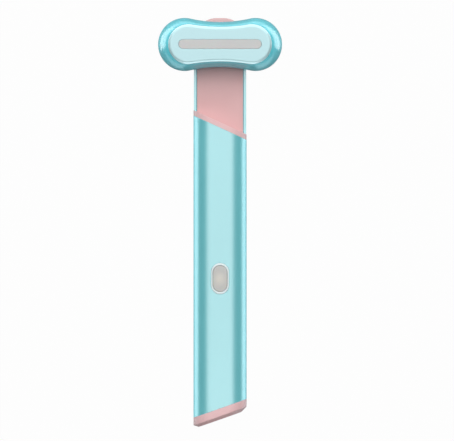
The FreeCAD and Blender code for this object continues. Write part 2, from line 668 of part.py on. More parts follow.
def socket_mouth():
    """The charging socket's way through the end cap, square to the slanted face."""
    sketch = doc.addObject("Sketcher::SketchObject", "mouth_outline")
    bind(sketch, ".Placement.Base.y", END_FACE_Y)
    bind(sketch, ".Placement.Base.z", f"{BOARD_LEVEL} - usb_height/2")
    turned = Rotation(Vector(0, 0, 1), value("end_angle")) * Rotation(Vector(1, 0, 0), 90)
    sketch.Placement.Rotation = turned
    draw_stadium(sketch, "0", "0", "(usb_wide - usb_height)/2", "usb_height/2 + mouth_gap")
    mouth = extrude(sketch, "end_depth")
    bind(mouth, "LengthRev", "2*end_wall")
    return mouth


def neck_liner():
    """Pink tray between the rails: it carries the swivel bush and hides the cable."""
    tray = tube_prism("tube_wall + fit_gap", CHASSIS_TOP_Y + " + chassis_gap", LINER_END_Y)
    top_waste = slab("2*tube_width", f"-{FAR}", FAR, LINER_TOP, "2*tube_height")
    channel = slab("liner_channel", "0", f"{PIVOT_Y} + wave_radius + fit_gap", "0", LINER_LOW)
    tongue = slab(
        "liner_tongue_wide",
        f"{CHASSIS_TOP_Y} - liner_tongue_len", f"{CHASSIS_TOP_Y} + liner_tongue_len",
        f"{LINER_LOW} - snug_gap", LINER_TOP,
    )
    boss = drum("0", PIVOT_Y, "boss_radius", LINER_LOW, "neck_height")
    bush_hole = drum("0", PIVOT_Y, "bush_radius + snug_gap", "0", "2*neck_height")
    groove_half = "(stop_radius + stop_side)"
    spare_turn = "(2*asin((stop_radius + stop_side/2)/stop_orbit)/1deg)"
    groove_floor = f"{LINER_TOP} - stop_depth"
    first = f"180 - {spare_turn}/2"
    groove_turn = f"swivel_turn + {spare_turn}"
    groove = cut(
        drum("0", PIVOT_Y, f"stop_orbit + {groove_half}", groove_floor, "2*neck_height", groove_turn, first),
        drum("0", PIVOT_Y, f"stop_orbit - {groove_half}", "0", "3*neck_height"),
    )
    screw_holes = [drum(x, y, "screw_radius + snug_gap", "0", "2*neck_height") for x, y in LINER_SCREWS]
    whole = fuse(cut(tray, top_waste, channel), tongue, boss)
    keep("neck_liner", cut(whole, bush_hole, groove, *screw_holes))


def nose_cap():
    """Rounded pink end of the neck, over the tube's upper end and the liner's tip."""
    half = "(tube_width/2)"
    plan = prism(
        lambda sketch: draw_polygon(sketch, [
            (f"-{half}", NECK_END_Y), (half, NECK_END_Y), (half, NOSE_Y), (f"-{half}", NOSE_Y),
        ]),
        "XY", "0", "neck_height",
    )
    doc.recompute()
    corners = doc.addObject("Part::Fillet", "nose_corners")
    corners.Base = plan
    corners.Edges = [
        (i, value("nose_corner"), value("nose_corner"))
        for i, edge in enumerate(plan.Shape.Edges, start=1)
        if edge.BoundBox.ZLength > 1 and abs(edge.BoundBox.YMin - value(NOSE_Y)) < 1e-3
    ]
    block = common(corners, tube_prism("0", NECK_END_Y, NOSE_Y))
    seat = tube_prism("tube_wall", "0", f"{LINER_END_Y} + fit_gap")
    keep("nose_cap", cut(block, seat))


def chassis():
    """Black tray that slides into the tube with the board, the cell and the liner on it."""
    start = f"({END_SEAM_Y} + end_plug/cos(end_angle) + chassis_start)"
    tray = cut(
        tube_prism(CHASSIS_INSET, "-overall_len", CHASSIS_TOP_Y),
        slanted(start, END_SLOPE, f"-{FAR}"),
        slab("2*tube_width", f"-{FAR}", FAR, BOARD_LEVEL, "2*tube_height"),
    )
    ledge = f"{CHASSIS_TOP_Y} - liner_tongue_len - 1"
    channel = slab("chassis_channel", "-overall_len", ledge, CHASSIS_FLOOR, "tube_height")
    tongue_room = slab("chassis_channel", ledge, NOSE_Y, f"{LINER_LOW} - snug_gap", "tube_height")
    cable_way = slab("3*cable_radius", SLOPE_TOP_Y, NOSE_Y, "0", LINER_LOW)
    board_holes = [
        drum(x, y, "small_screw_radius + snug_gap", f"{BOARD_TOP} - board_screw_length - tip_gap", BOARD_TOP)
        for x, y in BOARD_SCREWS
    ]
    liner_holes = [drum(x, y, "screw_radius + snug_gap", "0", "2*neck_height") for x, y in LINER_SCREWS]
    keep("chassis", cut(tray, channel, tongue_room, cable_way, *board_holes, *liner_holes))


# ---------------------------------------------------------------- handle electronics

BOARD_SCREWS = [
    (x, y)
    for x in ("-board_screw_x", "board_screw_x")
    for y in (f"{BOARD_END_Y} - board_screw_inset", f"{CELL_LOW_Y} + board_screw_inset")
]


def main_board():
    end = f"({END_FACE_Y} + board_inset/cos(end_angle))"
    board = cut(
        slab("board_wide", "-overall_len", BOARD_END_Y, BOARD_LEVEL, BOARD_TOP),
        slanted(end, END_SLOPE, f"-{FAR}"),
    )
    holes = [drum(x, y, "small_screw_radius + snug_gap", "0", "tube_height") for x, y in BOARD_SCREWS]
    keep("main_board", cut(board, *holes))


def board_chips():
    """Controller, coil, its driver, charger and two rows of small parts on the main board."""
    piece = Piece("board_chips", z=BOARD_TOP)
    controller_y = f"({BOARD_END_Y} - controller_below)"
    coil_y = f"({END_FACE_Y} + coil_share*{LOWER_REACH})"
    for x, y, side, height in (
        ("0", controller_y, "controller_side", "chip_height"),
        ("-driver_x", coil_y, "driver_side", "chip_height"),
        ("coil_x", coil_y, "coil_side", "coil_height"),
        ("0", f"({END_FACE_Y} + charger_share*{LOWER_REACH})", "charger_side", "chip_height"),
    ):
        piece.pad(lambda sketch: draw_block(sketch, x, y, side, side), "0", height)

    def small_parts(sketch):
        for side in ("-1", "1"):
            for step in (-1.5, -0.5, 0.5, 1.5):
                draw_block(sketch, f"{side}*passive_x", f"{controller_y} + {step}*passive_pitch",
                           "passive_wide", "passive_long")

    piece.pad(small_parts, "0", "passive_height")


def screw_set(label, places, seat, head_radius, head, radius, length, up=False):
    """Identical pan-head screws with a cross recess; the thread points down, or up."""
    piece = Piece(label)
    tip = (seat, f"{seat} + {length}") if up else (f"{seat} - ({length})", seat)
    crown = (f"{seat} - {head}", seat) if up else (seat, f"{seat} + {head}")
    recess = (crown[0], f"{crown[0]} + cross_depth") if up else (f"{crown[1]} - cross_depth", crown[1])

    def circles(radius):
        def draw(sketch):
            for x, y in places:
                draw_circle(sketch, x, y, radius)
        return draw

    def crosses(across):
        def draw(sketch):
            long, short = f"{head_radius}*0.6", "cross_width/2"
            wide, tall = (long, short) if across else (short, long)
            for x, y in places:
                draw_box(sketch, f"{x} - {wide}", f"{x} + {wide}", f"{y} - {tall}", f"{y} + {tall}")
        return draw

    piece.pad(circles(head_radius), *crown)
    piece.pad(circles(radius), *tip)
    for across in (True, False):
        piece.pocket(crosses(across), *recess)


def battery():
    cell = Piece("battery_cell", z=f"{CHASSIS_FLOOR} + foam_thick")
    block = cell.pad(
        lambda sketch: draw_box(sketch, "-cell_wide/2", "cell_wide/2", CELL_LOW_Y, CELL_HIGH_Y), "0", CELL_THICK
    )
    top = cell.round_edges(block, CELL_THICK, "cell_round")
    cell.round_edges(top, "0", "cell_round")
    foam = Piece("battery_foam", z=CHASSIS_FLOOR)
    foam.pad(
        lambda sketch: draw_box(
            sketch, "foam_margin - cell_wide/2", "cell_wide/2 - foam_margin",
            f"{CELL_LOW_Y} + foam_margin", f"{CELL_HIGH_Y} - foam_margin",
        ),
        "0", "foam_thick",
    )


def charging_socket():
    """Socket soldered under the board's slanted end, square to the end face."""
    for label in ("usb_shell", "usb_tongue"):
        piece = Piece(label, y=END_FACE_Y, z=f"{BOARD_LEVEL} - usb_height/2")
        piece.body.Placement.Rotation = Rotation(Vector(0, 0, 1), value("end_angle"))
        back = "usb_sunk + usb_long"
        straight = "(usb_wide - usb_height)/2"
        if label == "usb_shell":
            piece.pad(lambda sketch: draw_stadium(sketch, "0", "0", straight, "usb_height/2"),
                      "usb_sunk", back, "XZ")
            piece.pocket(lambda sketch: draw_stadium(sketch, "0", "0", straight, "usb_height/2 - usb_wall"),
                         "usb_sunk", f"{back} - usb_back", "XZ")
        else:
            piece.pad(lambda sketch: draw_block(sketch, "0", "0", "tongue_wide", "tongue_thick"),
                      "usb_sunk + tongue_sunk", f"{back} - usb_back", "XZ")


def switch():
    """Illuminated tactile switch: body with a well, clear plunger, and a diode under it."""
    body = Piece("switch_body", y=BUTTON_Y, z=BOARD_TOP)
    body.pad(lambda sketch: draw_block(sketch, "0", "0", "switch_side", "switch_side"), "0", "switch_height")
    body.pocket(lambda sketch: draw_circle(sketch, "0", "0", "plunger_radius + fit_gap"),
                "switch_floor", "switch_height")
    diode = Piece("button_led", y=BUTTON_Y, z=f"{BOARD_TOP} + switch_floor")
    diode.pad(lambda sketch: draw_block(sketch, "0", "0", "button_led_wide", "button_led_long"),
              "0", "button_led_height")
    plunger = Piece("switch_plunger", y=BUTTON_Y)
    plunger.pad(lambda sketch: draw_circle(sketch, "0", "0", "plunger_radius"),
                f"{BOARD_TOP} + switch_floor + button_led_height + button_travel + fit_gap", PLUNGER_TOP)


def button():
    """Bezel in the tube, with the translucent button and its light guide."""
    long_half = "(bezel_long - bezel_wide)/2"
    open_half = "(button_long - button_wide)/2"
    bezel_top = "tube_height + bezel_proud"
    bezel = Piece("button_bezel", y=BUTTON_Y)
    ring = bezel.pad(lambda sketch: draw_stadium(sketch, "0", "0", long_half, "bezel_wide/2", True),
                     BEZEL_LOW, bezel_top)
    bezel.round_edges(ring, bezel_top, "bezel_round")
    bezel.pad(
        lambda sketch: draw_stadium(sketch, "0", "0", long_half, "bezel_wide/2 + bezel_flange_out", True),
        BEZEL_LOW, f"{BEZEL_LOW} + bezel_flange",
    )
    bezel.pocket(lambda sketch: draw_stadium(sketch, "0", "0", open_half, "button_wide/2", True),
                 BEZEL_LOW, bezel_top)
    cap_top = "tube_height + button_proud"
    cap = Piece("button_cap", y=BUTTON_Y)
    knob = cap.pad(
        lambda sketch: draw_stadium(sketch, "0", "0", open_half, "button_wide/2 - button_gap", True),
        BUTTON_LOW, cap_top,
    )
    cap.round_edges(knob, cap_top, "button_round")
    cap.pad(
        lambda sketch: draw_stadium(
            sketch, "0", "0", open_half, "button_wide/2 - button_gap + button_flange_out", True
        ),
        BUTTON_LOW, f"{BUTTON_LOW} + button_flange",
    )
    cap.pocket(lambda sketch: draw_circle(sketch, "0", "0", "window_radius + snug_gap"), BUTTON_LOW, cap_top)
    window = Piece("button_window", y=BUTTON_Y)
    window.pad(lambda sketch: draw_circle(sketch, "0", "0", "window_radius"), PLUNGER_TOP, cap_top)


def earth_spring():
    """Leaf that joins the board to the tube, the return path of the massage current."""
    leaf = Piece("earth_spring", y=f"{END_FACE_Y} + leaf_share*{LOWER_REACH}")
    ridge = "(tube_height - tube_wall - fit_gap)"
    tail = "(leaf_reach + leaf_tail)"
    leaf.pad(
        lambda sketch: draw_polygon(sketch, [
            ("0", BOARD_TOP), ("leaf_foot", BOARD_TOP), ("leaf_foot", f"{BOARD_TOP} + leaf_thick"),
            ("2*leaf_thick", f"{BOARD_TOP} + leaf_thick"), ("leaf_reach", f"{ridge} - 2*leaf_thick"),
            (tail, f"{ridge} - 4*leaf_thick"), (tail, f"{ridge} - 3*leaf_thick"), ("leaf_reach", ridge),
            ("0", f"{BOARD_TOP} + 2*leaf_thick"),
        ]),
        "-leaf_wide/2", "leaf_wide/2", "YZ",
    )


# ---------------------------------------------------------------- swivel

def pivot_bush():
    bush = Piece("pivot_bush", y=PIVOT_Y)
    bore = "spindle_radius + bearing_gap"
    bush.revolve(lambda sketch: draw_polygon(sketch, [
        (bore, LINER_LOW), ("bush_radius", LINER_LOW), ("bush_radius", "neck_height"),
        ("bush_flange", "neck_height"), ("bush_flange", BUSH_TOP), (bore, BUSH_TOP),
    ]))


def pivot_spindle():
    """Hollow spindle: a hexagon flange inside the head, and a clip groove under the bush."""
    spindle = Piece("pivot_spindle", y=PIVOT_Y)
    tail = f"({CLIP_LOW} - spindle_tail)"
    groove = [f"{CLIP_LOW} - snug_gap", f"{CLIP_LOW} + clip_thick + snug_gap"]
    spindle.revolve(lambda sketch: draw_polygon(sketch, [
        ("spindle_bore", tail), ("spindle_radius", tail), ("spindle_radius", groove[0]),
        ("groove_radius", groove[0]), ("groove_radius", groove[1]), ("spindle_radius", groove[1]),
        ("spindle_radius", f"{COVER_FLOOR} + spindle_flange"), ("spindle_bore", f"{COVER_FLOOR} + spindle_flange"),
    ]))

    def hexagon_ring(sketch):
        draw_hexagon(sketch, "spindle_flats/2")
        draw_circle(sketch, "0", "0", "spindle_radius")

    spindle.pad(hexagon_ring, COVER_FLOOR, f"{COVER_FLOOR} + spindle_flange")


def draw_hexagon(sketch, half_flats):
    corner = f"({half_flats})/cos(30)"
    draw_polygon(sketch, [(f"{corner}*cos({60 * k})", f"{corner}*sin({60 * k})") for k in range(6)])


def wave_washer():
    """Washer bent to a shallow arch, which presses the head gently down on its bush."""
    arch_rise = "(wave_height - wave_strip - snug_gap)"
    arch = f"((wave_radius^2 + {arch_rise}^2)/(2*{arch_rise}))"

    def bent(radius):
        cylinder = doc.addObject("Part::Cylinder", "bend")
        bind(cylinder, "Radius", radius)
        bind(cylinder, "Height", "4*wave_radius")
        bind(cylinder, ".Placement.Base.y", f"{PIVOT_Y} + 2*wave_radius")
        bind(cylinder, ".Placement.Base.z", f"{LINER_LOW} - {arch}")  # the arch's top touches the liner
        cylinder.Placement.Rotation = Rotation(Vector(1, 0, 0), 90)
        return cylinder

    strip = cut(bent(arch), bent(f"{arch} - wave_strip"))
    ring = cut(
        drum("0", PIVOT_Y, "wave_radius", CLIP_LOW, "neck_height"),
        drum("0", PIVOT_Y, "spindle_radius + fit_gap", "0", "2*neck_height"),
    )
    keep("wave_washer", common(strip, ring))


def retaining_clip():
    """Open clip in the spindle's groove."""
    mouth = "groove_radius*1.5"
    ring = cut(
        drum("0", PIVOT_Y, "clip_radius", CLIP_LOW, f"{CLIP_LOW} + clip_thick"),
        drum("0", PIVOT_Y, "groove_radius + snug_gap", "0", "neck_height"),
        slab(mouth, PIVOT_Y, FAR, "0", "neck_height"),
    )
    keep("retaining_clip", ring)


def stop_pin():
    pin = Piece("stop_pin", y=f"{PIVOT_Y} - stop_orbit")
    pin.pad(lambda sketch: draw_circle(sketch, "0", "0", "stop_radius"),
            f"{LINER_TOP} - stop_depth + fit_gap", COVER_FLOOR)


# ---------------------------------------------------------------- head

POSTS = [(f"{a}*{POST_X}", f"{b}*{POST_Y}") for a in ("-1", "1") for b in ("-1", "1")]
LIGHT_POSTS = [(LIGHT_X, f"-{LIGHT_Y}"), (f"-{LIGHT_X}", LIGHT_Y)]
SPRING_PLACES = [(LIGHT_X, LIGHT_Y), (f"-{LIGHT_X}", f"-{LIGHT_Y}")]


def at_pivot(places):
    return [(x, f"{PIVOT_Y} + {y}") for x, y in places]


def head_outline(inset):
    def draw(sketch):
        draw_peanut(sketch, f"head_width - 2*({inset})", f"head_depth - 2*({inset})", f"head_waist - 2*({inset})")
    return draw


def face_outline(inset):
    def draw(sketch):
        less = f"2*({inset})"
        draw_peanut(sketch, f"{FACE_WIDTH} - {less}", f"{FACE_DEPTH} - {less}", f"{FACE_WAIST} - {less}")
    return draw


def lens_outline(out):
    def draw(sketch):
        draw_stadium(sketch, "0", "0", f"({LENS_WIDTH} - lens_depth)/2", f"lens_depth/2 + ({out})")
    return draw


def circles_at(places, radius):
    def draw(sketch):
        for x, y in places:
            draw_circle(sketch, x, y, radius)
    return draw


def head_back():
    """Back cover: it holds the spindle's hexagon, the stop pin, the motor and the screws."""
    cover = Piece("head_back", y=PIVOT_Y)
    block = cover.pad(head_outline("0"), HEAD_BACK, COVER_TOP)
    cover.round_edges(block, HEAD_BACK, "cover_round")
    cover.pocket(head_outline("cover_rim"), COVER_FLOOR, COVER_TOP)
    lip_top = f"{COVER_TOP} + lip_height"
    cover.pad(head_outline("cover_rim - lip_thick"), f"{COVER_TOP} - 0.2", lip_top)
    cover.pocket(head_outline("cover_rim"), COVER_FLOOR, lip_top)
    cover.pad(circles_at(POSTS, "post_radius"), COVER_FLOOR, COVER_TOP)
    collar_top = f"{COVER_FLOOR} + spindle_flange"

    def collar(sketch):
        draw_circle(sketch, "0", "0", COLLAR_RADIUS)
        draw_hexagon(sketch, "spindle_flats/2 + fit_gap")

    cover.pad(collar, COVER_FLOOR, collar_top)
    cover.pocket(circles_at(POSTS, "screw_head_radius + fit_gap"), HEAD_BACK, SCREW_SEAT)
    cover.pocket(circles_at(POSTS, "screw_radius + snug_gap"), HEAD_BACK, COVER_TOP)
    cover.pocket(circles_at([("0", "0")], "spindle_radius + snug_gap"), HEAD_BACK, COVER_FLOOR)
    cover.pocket(circles_at([("0", "-stop_orbit")], "stop_radius + snug_gap"), HEAD_BACK, COVER_FLOOR)


def crown_section(share):
    """The shell's outline at a share of the way in from its widest to the crown round the face."""
    def draw(sketch):
        draw_peanut(
            sketch,
            f"head_width - {share}*2*(face_margin_x - crown_rim)",
            f"head_depth - {share}*2*(face_margin_y - crown_rim)",
            f"head_waist - {share}*2*(face_margin_waist - crown_rim)",
        )
    return draw


def head_shell():
    """Front housing: domed from its seam to the crown, with seats for plate, window and board."""
    shell = Piece("head_shell", y=PIVOT_Y)
    rise = "(head_height - cover_height)"
    sections = [(crown_section("0"), COVER_TOP)]
    for turn in (15, 30, 45, 60, 75):
        inward, upward = f"(1 - cos({turn})^crown_power)", f"sin({turn})^crown_power"
        sections.append((crown_section(inward), f"{COVER_TOP} + {rise}*{upward}"))
    shell.loft(sections + [(crown_section("1"), CROWN)])
    shell.pocket(head_outline("shell_wall"), COVER_TOP, LIGHT_TOP)
    shell.pocket(head_outline("shell_wall + ledge_width"), LIGHT_TOP, TOP_WALL)
    shell.pocket(head_outline("cover_rim - lip_thick - fit_gap"), COVER_TOP, f"{COVER_TOP} + lip_height + fit_gap")
    shell.pad(circles_at(POSTS, "post_radius"), f"{COVER_TOP} + fit_gap", TOP_WALL)
    shell.pad(circles_at(LIGHT_POSTS, "light_post_radius"), LIGHT_TOP, TOP_WALL)
    shell.pocket(circles_at(POSTS, "screw_radius + snug_gap"), COVER_TOP, f"{SCREW_SEAT} + screw_length + tip_gap")
    shell.pocket(circles_at(LIGHT_POSTS, "small_screw_radius + snug_gap"),
                 LIGHT_TOP, f"{LIGHT_TOP} + light_screw_bite + tip_gap")
    shell.pocket(face_outline("-face_groove"), FACE_LOW, CROWN)
    shell.pocket(lens_outline("fit_gap"), TOP_WALL, CROWN)
    shell.pocket(film_outline("fit_gap"), f"{FACE_LOW} - film_thick", FACE_LOW)
    shell.pocket(circles_at(SPRING_PLACES, "spring_radius + spring_wire + fit_gap"), TOP_WALL, FACE_LOW)


def film_outline(out):
    depth = "(lens_depth/2 + film_out_y)"

    def draw(sketch):
        draw_stadium(sketch, "0", "0", f"{LENS_WIDTH}/2 + film_out_x - {depth}", f"{depth} + ({out})")
    return draw


def face_plate():
    """Warm massage plate, a rounded sheet-metal pan with the window's slot in it."""
    plate = Piece("face_plate", y=PIVOT_Y)
    sheet_metal = plate.pad(face_outline("0"), FACE_LOW, FACE_TOP)
    plate.round_edges(sheet_metal, FACE_TOP, "face_round")
    plate.pocket(lens_outline("snug_gap"), FACE_LOW, FACE_TOP)


def lens_bar():
    lens = Piece("lens_bar", y=PIVOT_Y)
    lens.pad(lens_outline("0"), LENS_LOW, f"{FACE_TOP} - lens_sunk")
    lens.pad(lens_outline("lens_flange_out"), LENS_LOW, TOP_WALL)


def heater_film():
    film = Piece("heater_film", y=PIVOT_Y, z=f"{FACE_LOW} - film_thick")
    film.pad(film_outline("0"), "0", "film_thick")
    film.pocket(lens_outline("film_slot_out"), "0", "film_thick")


def light_board():
    board = Piece("light_board", y=PIVOT_Y)
    board.pad(head_outline("shell_wall + 2*fit_gap"), LIGHT_LOW, LIGHT_TOP)
    board.pocket(circles_at(POSTS, "post_radius + 2*fit_gap"), LIGHT_LOW, LIGHT_TOP)
    board.pocket(circles_at(LIGHT_POSTS, "small_screw_radius + snug_gap"), LIGHT_LOW, LIGHT_TOP)
    diodes = Piece("light_diodes", y=PIVOT_Y, z=LIGHT_TOP)

    def row(sketch):
        count = round(value("led_count"))
        pitch = f"({LENS_WIDTH} - 2*led_margin - led_length)/{count - 1}"
        for k in range(count):
            draw_block(sketch, f"{pitch}*{k - (count - 1) / 2}", "0", "led_length", "led_depth")

    diodes.pad(row, "0", "led_height")
    socket = Piece("head_socket", y=PIVOT_Y)
    socket.pad(lambda sketch: draw_block(sketch, "0", "0", "head_socket_wide", "head_socket_deep"),
               f"{LIGHT_LOW} - head_socket_height", LIGHT_LOW)


def plate_springs():
    """Two coil springs that carry the massage current from the light board to the face plate."""
    bottom, top = value(LIGHT_TOP), value(FACE_LOW)
    wire, radius, turns = value("spring_wire"), value("spring_radius"), value("spring_turns")
    rise = top - bottom - 2 * wire
    coils = []
    for x, y in SPRING_PLACES:
        helix = Part.makeHelix(rise / turns, rise, radius)
        start = Part.Wire(Part.makeCircle(wire, Vector(radius, 0, 0), Vector(0, 1, 0)))
        coil = Part.Wire(helix).makePipeShell([start], True, True)
        coil.translate(Vector(value(x), value(f"{PIVOT_Y} + {y}"), bottom + wire))
        coils.append(coil)
    springs = doc.addObject("Part::Feature", "plate_springs")
    springs.Shape = Part.makeCompound(coils)
    pieces["plate_springs"] = springs


# ---------------------------------------------------------------- vibration motor

def motor():
    """Pager motor lying across the left lobe, in a soft cradle on the cover floor."""
    start, end = MOTOR_BACK_X, MOTOR_END_X
    can = Piece("motor_can", y=PIVOT_Y, z=MOTOR_Z)
    can.pad(circles_at([("0", "0")], "motor_radius"), start, end, "YZ")
    can.pocket(circles_at([("0", "0")], "shaft_radius + snug_gap"), f"{end} - shaft_in", end, "YZ")
    cradle = Piece("motor_cradle", y=PIVOT_Y)
    cradle.pad(
        lambda sketch: draw_box(
            sketch, f"{start} + cradle_margin", f"{end} - cradle_margin", "-cradle_width/2", "cradle_width/2"
        ),
        COVER_FLOOR, MOTOR_Z,
    )
    cradle.pocket(
        lambda sketch: draw_circle(sketch, "0", MOTOR_Z, "motor_radius + snug_gap"),
        "-head_width", "0", "YZ",
    )
    shaft = Piece("motor_shaft", y=PIVOT_Y, z=MOTOR_Z)
    shaft.pad(circles_at([("0", "0")], "shaft_radius"), f"{end} - shaft_in + fit_gap",
              f"{end} + weight_gap + weight_length + shaft_tip", "YZ")
    weight = Piece("eccentric_weight", y=PIVOT_Y, z=MOTOR_Z)
    first = f"{end} + weight_gap"
    weight.pad(circles_at([("0", "0")], "weight_radius"), first, f"{first} + weight_length", "YZ")
    weight.pocket(
        lambda sketch: draw_box(sketch, "-2*weight_radius", "2*weight_radius", "weight_flat", "2*weight_radius"),
        first, f"{first} + weight_length", "YZ",
    )
    weight.pocket(circles_at([("0", "0")], "shaft_radius"), first, f"{first} + weight_length", "YZ")


# ---------------------------------------------------------------- wires

def tube_along(corners, radius, bends):
    """A round wire along straight runs, with an arc of the given radius at each corner between them."""
    edges, here = [], corners[0]
    for before, corner, after, bend in zip(corners, corners[1:], corners[2:], bends):
        arriving, leaving = (corner - before).normalize(), (after - corner).normalize()
        half_turn = arriving.getAngle(leaving) / 2
        trim = bend * math.tan(half_turn)
        start, end = corner - arriving * trim, corner + leaving * trim
        inward = (leaving - arriving).normalize()
        middle = corner + inward * (bend / math.cos(half_turn) - bend)
        edges += [Part.LineSegment(here, start).toShape(), Part.Arc(start, middle, end).toShape()]
        here = end
    edges.append(Part.LineSegment(here, corners[-1]).toShape())
    path = Part.Wire(edges)
    profile = Part.Wire(Part.makeCircle(radius, corners[0], (corners[1] - corners[0]).normalize()))
    wire = path.makePipeShell([profile], True, False)
    print(f"wire of {path.Length:.1f} mm: volume {wire.Volume:.2f}, section times length "
          f"{math.pi * radius**2 * path.Length:.2f}, bends {bends}")
    return wire


def add_wires(label, shapes):
    feature = doc.addObject("Part::Feature", label)
    feature.Shape = Part.makeCompound(shapes)
    pieces[label] = feature


def head_cable():
    """Cable from the main board, under the liner, up through the spindle to the head's socket."""
    pivot, floor, radius = value(PIVOT_Y), value(CABLE_Z), value("cable_radius")
    socket_z = value(f"{LIGHT_LOW} - head_socket_height") - value("snug_gap")
    plug_z = value(f"{BOARD_LEVEL} - board_socket_height/2")
    corners = [
        Vector(0, pivot, socket_z),
        Vector(0, pivot, floor),
        Vector(0, value(SLOPE_LOW_Y), floor),
        Vector(0, value(SLOPE_TOP_Y), plug_z),
        Vector(0, value(f"{BOARD_END_Y} + plug_long"), plug_z),
    ]
    bends = [value("cable_bend"), value("cable_sweep"), value("cable_sweep")]
    add_wires("head_cable", [tube_along(corners, radius, bends)])
    socket = Piece("board_socket", y=f"{BOARD_END_Y} - board_socket_long/2")
    socket.pad(lambda sketch: draw_block(sketch, "0", "0", "board_socket_wide", "board_socket_long"),
               f"{BOARD_LEVEL} - board_socket_height", BOARD_LEVEL)
    plug = Piece("cable_plug", y=f"{BOARD_END_Y} + plug_long/2", z=f"{BOARD_LEVEL} - board_socket_height/2")
    plug.pad(lambda sketch: draw_block(sketch, "0", "0", "plug_wide", "plug_long"),
             "-plug_height/2", "plug_height/2")


def battery_leads():
    """Two leads from the cell's upper end up to the underside of the board."""
    cell_end, radius = value(CELL_HIGH_Y), value("lead_radius")
    height = value(f"{CHASSIS_FLOOR} + foam_thick + {CELL_THICK}/2")
    under_board = value(BOARD_LEVEL)
    leads = []
    for side in (-1, 1):
        x = side * value("lead_spread")
        turn = cell_end + value("lead_run")
        corners = [Vector(x, cell_end, height), Vector(x, turn, height), Vector(x, turn, under_board)]
        leads.append(tube_along(corners, radius, [value("lead_bend")]))
    add_wires("battery_leads", leads)


def motor_leads():
    """Two leads from the back of the motor up to the light board."""
    start = value(MOTOR_BACK_X)
    height, turn = value(MOTOR_Z), start - value("motor_lead_x")
    leads = []
    for side in ("-1", "1"):
        y = value(f"{PIVOT_Y} + {side}*motor_lead_y")
        corners = [Vector(start, y, height), Vector(turn, y, height), Vector(turn, y, value(LIGHT_LOW))]
        leads.append(tube_along(corners, value("motor_lead_radius"), [value("motor_lead_bend")]))
    add_wires("motor_leads", leads)


# ---------------------------------------------------------------- assembly

handle_tube()
shoulder_cap()
end_cap()
neck_liner()
nose_cap()
chassis()
main_board()
board_chips()
screw_set("board_screws", BOARD_SCREWS, BOARD_TOP, "small_head_radius", "small_head", "small_screw_radius",
          "board_screw_length")
battery()
charging_socket()
switch()
button()
earth_spring()
pivot_bush()
pivot_spindle()
wave_washer()
retaining_clip()
stop_pin()
head_back()
head_shell()
face_plate()
lens_bar()
heater_film()
light_board()
plate_springs()
motor()
head_cable()
battery_leads()
motor_leads()
screw_set("liner_screws", LINER_SCREWS, LINER_TOP, "screw_head_radius", "screw_head", "screw_radius",
          "liner_screw_length")
screw_set("head_screws", at_pivot(POSTS), SCREW_SEAT, "screw_head_radius", "screw_head", "screw_radius",
          "screw_length", up=True)
screw_set("light_screws", at_pivot(LIGHT_POSTS), LIGHT_LOW, "small_head_radius", "small_head",
          "small_screw_radius", "light_board_thick + light_screw_bite", up=True)

doc.recompute()

faults = []
for thing in doc.Objects:
    if {"Invalid", "Error"} & set(thing.State):
        faults.append(f"{thing.Label} failed: {thing.State}")
    if thing.TypeId == "PartDesign::Pocket" and thing.BaseFeature is not None:
        if thing.Shape.Volume > thing.BaseFeature.Shape.Volume - 1e-6:
            faults.append(f"{thing.Label} cuts nothing")
for label, thing in pieces.items():
    if thing.Shape.isNull() or not thing.Shape.isValid() or not thing.Shape.Solids:
        faults.append(f"{label} has no valid solid")
if faults:
    raise SystemExit("\n".join(faults))

os.makedirs("parts", exist_ok=True)
for label, thing in pieces.items():
    thing.Shape.exportStep(f"parts/{label}.step")
    box = thing.Shape.BoundBox
    print(f"{label:18s} solids {len(thing.Shape.Solids):2d}  volume {thing.Shape.Volume:9.2f}  "
          f"X {box.XMin:7.2f} {box.XMax:7.2f}  Y {box.YMin:7.2f} {box.YMax:7.2f}  "
          f"Z {box.ZMin:6.2f} {box.ZMax:6.2f}")
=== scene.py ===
# %% [markdown]
# # A heated eye massager wand
# The wand is a slim anodised tube with a swivelling, softly glowing head across its upper end.
# Its working pieces come from CAD, and this lesson dresses them: it sets up a small studio, mixes
# the finishes, and then models each piece that the eye rests on, with the soft edges and fine
# relief that CAD leaves out.

# %% Load the frame
import json
import math

import bmesh
import bpy
from mathutils import Matrix, Vector


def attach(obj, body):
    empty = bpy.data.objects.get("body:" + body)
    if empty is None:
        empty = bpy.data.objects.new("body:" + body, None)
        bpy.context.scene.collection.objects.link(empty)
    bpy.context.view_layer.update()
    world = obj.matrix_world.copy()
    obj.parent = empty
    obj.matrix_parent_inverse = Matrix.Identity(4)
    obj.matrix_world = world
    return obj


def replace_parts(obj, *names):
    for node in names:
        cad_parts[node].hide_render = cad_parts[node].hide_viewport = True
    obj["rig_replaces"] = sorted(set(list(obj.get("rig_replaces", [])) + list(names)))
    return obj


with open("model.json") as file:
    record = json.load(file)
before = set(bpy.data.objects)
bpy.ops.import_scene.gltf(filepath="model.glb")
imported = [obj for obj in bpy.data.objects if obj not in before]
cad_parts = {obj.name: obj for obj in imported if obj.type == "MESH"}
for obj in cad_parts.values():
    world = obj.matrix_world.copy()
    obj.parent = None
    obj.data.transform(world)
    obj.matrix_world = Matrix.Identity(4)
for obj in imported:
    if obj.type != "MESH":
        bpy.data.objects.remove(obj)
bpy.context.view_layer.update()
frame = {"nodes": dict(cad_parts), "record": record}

# %% [markdown]
# ## Two small tools
# Drawings of small goods are in millimetres and Blender works in metres, so one number turns the
# first into the second. Colours are written as sRGB codes, the way a designer notes them, but
# shaders mix light, which needs linear numbers. One function makes that step for every colour.

# %% Millimetres and colours
MM = 0.001


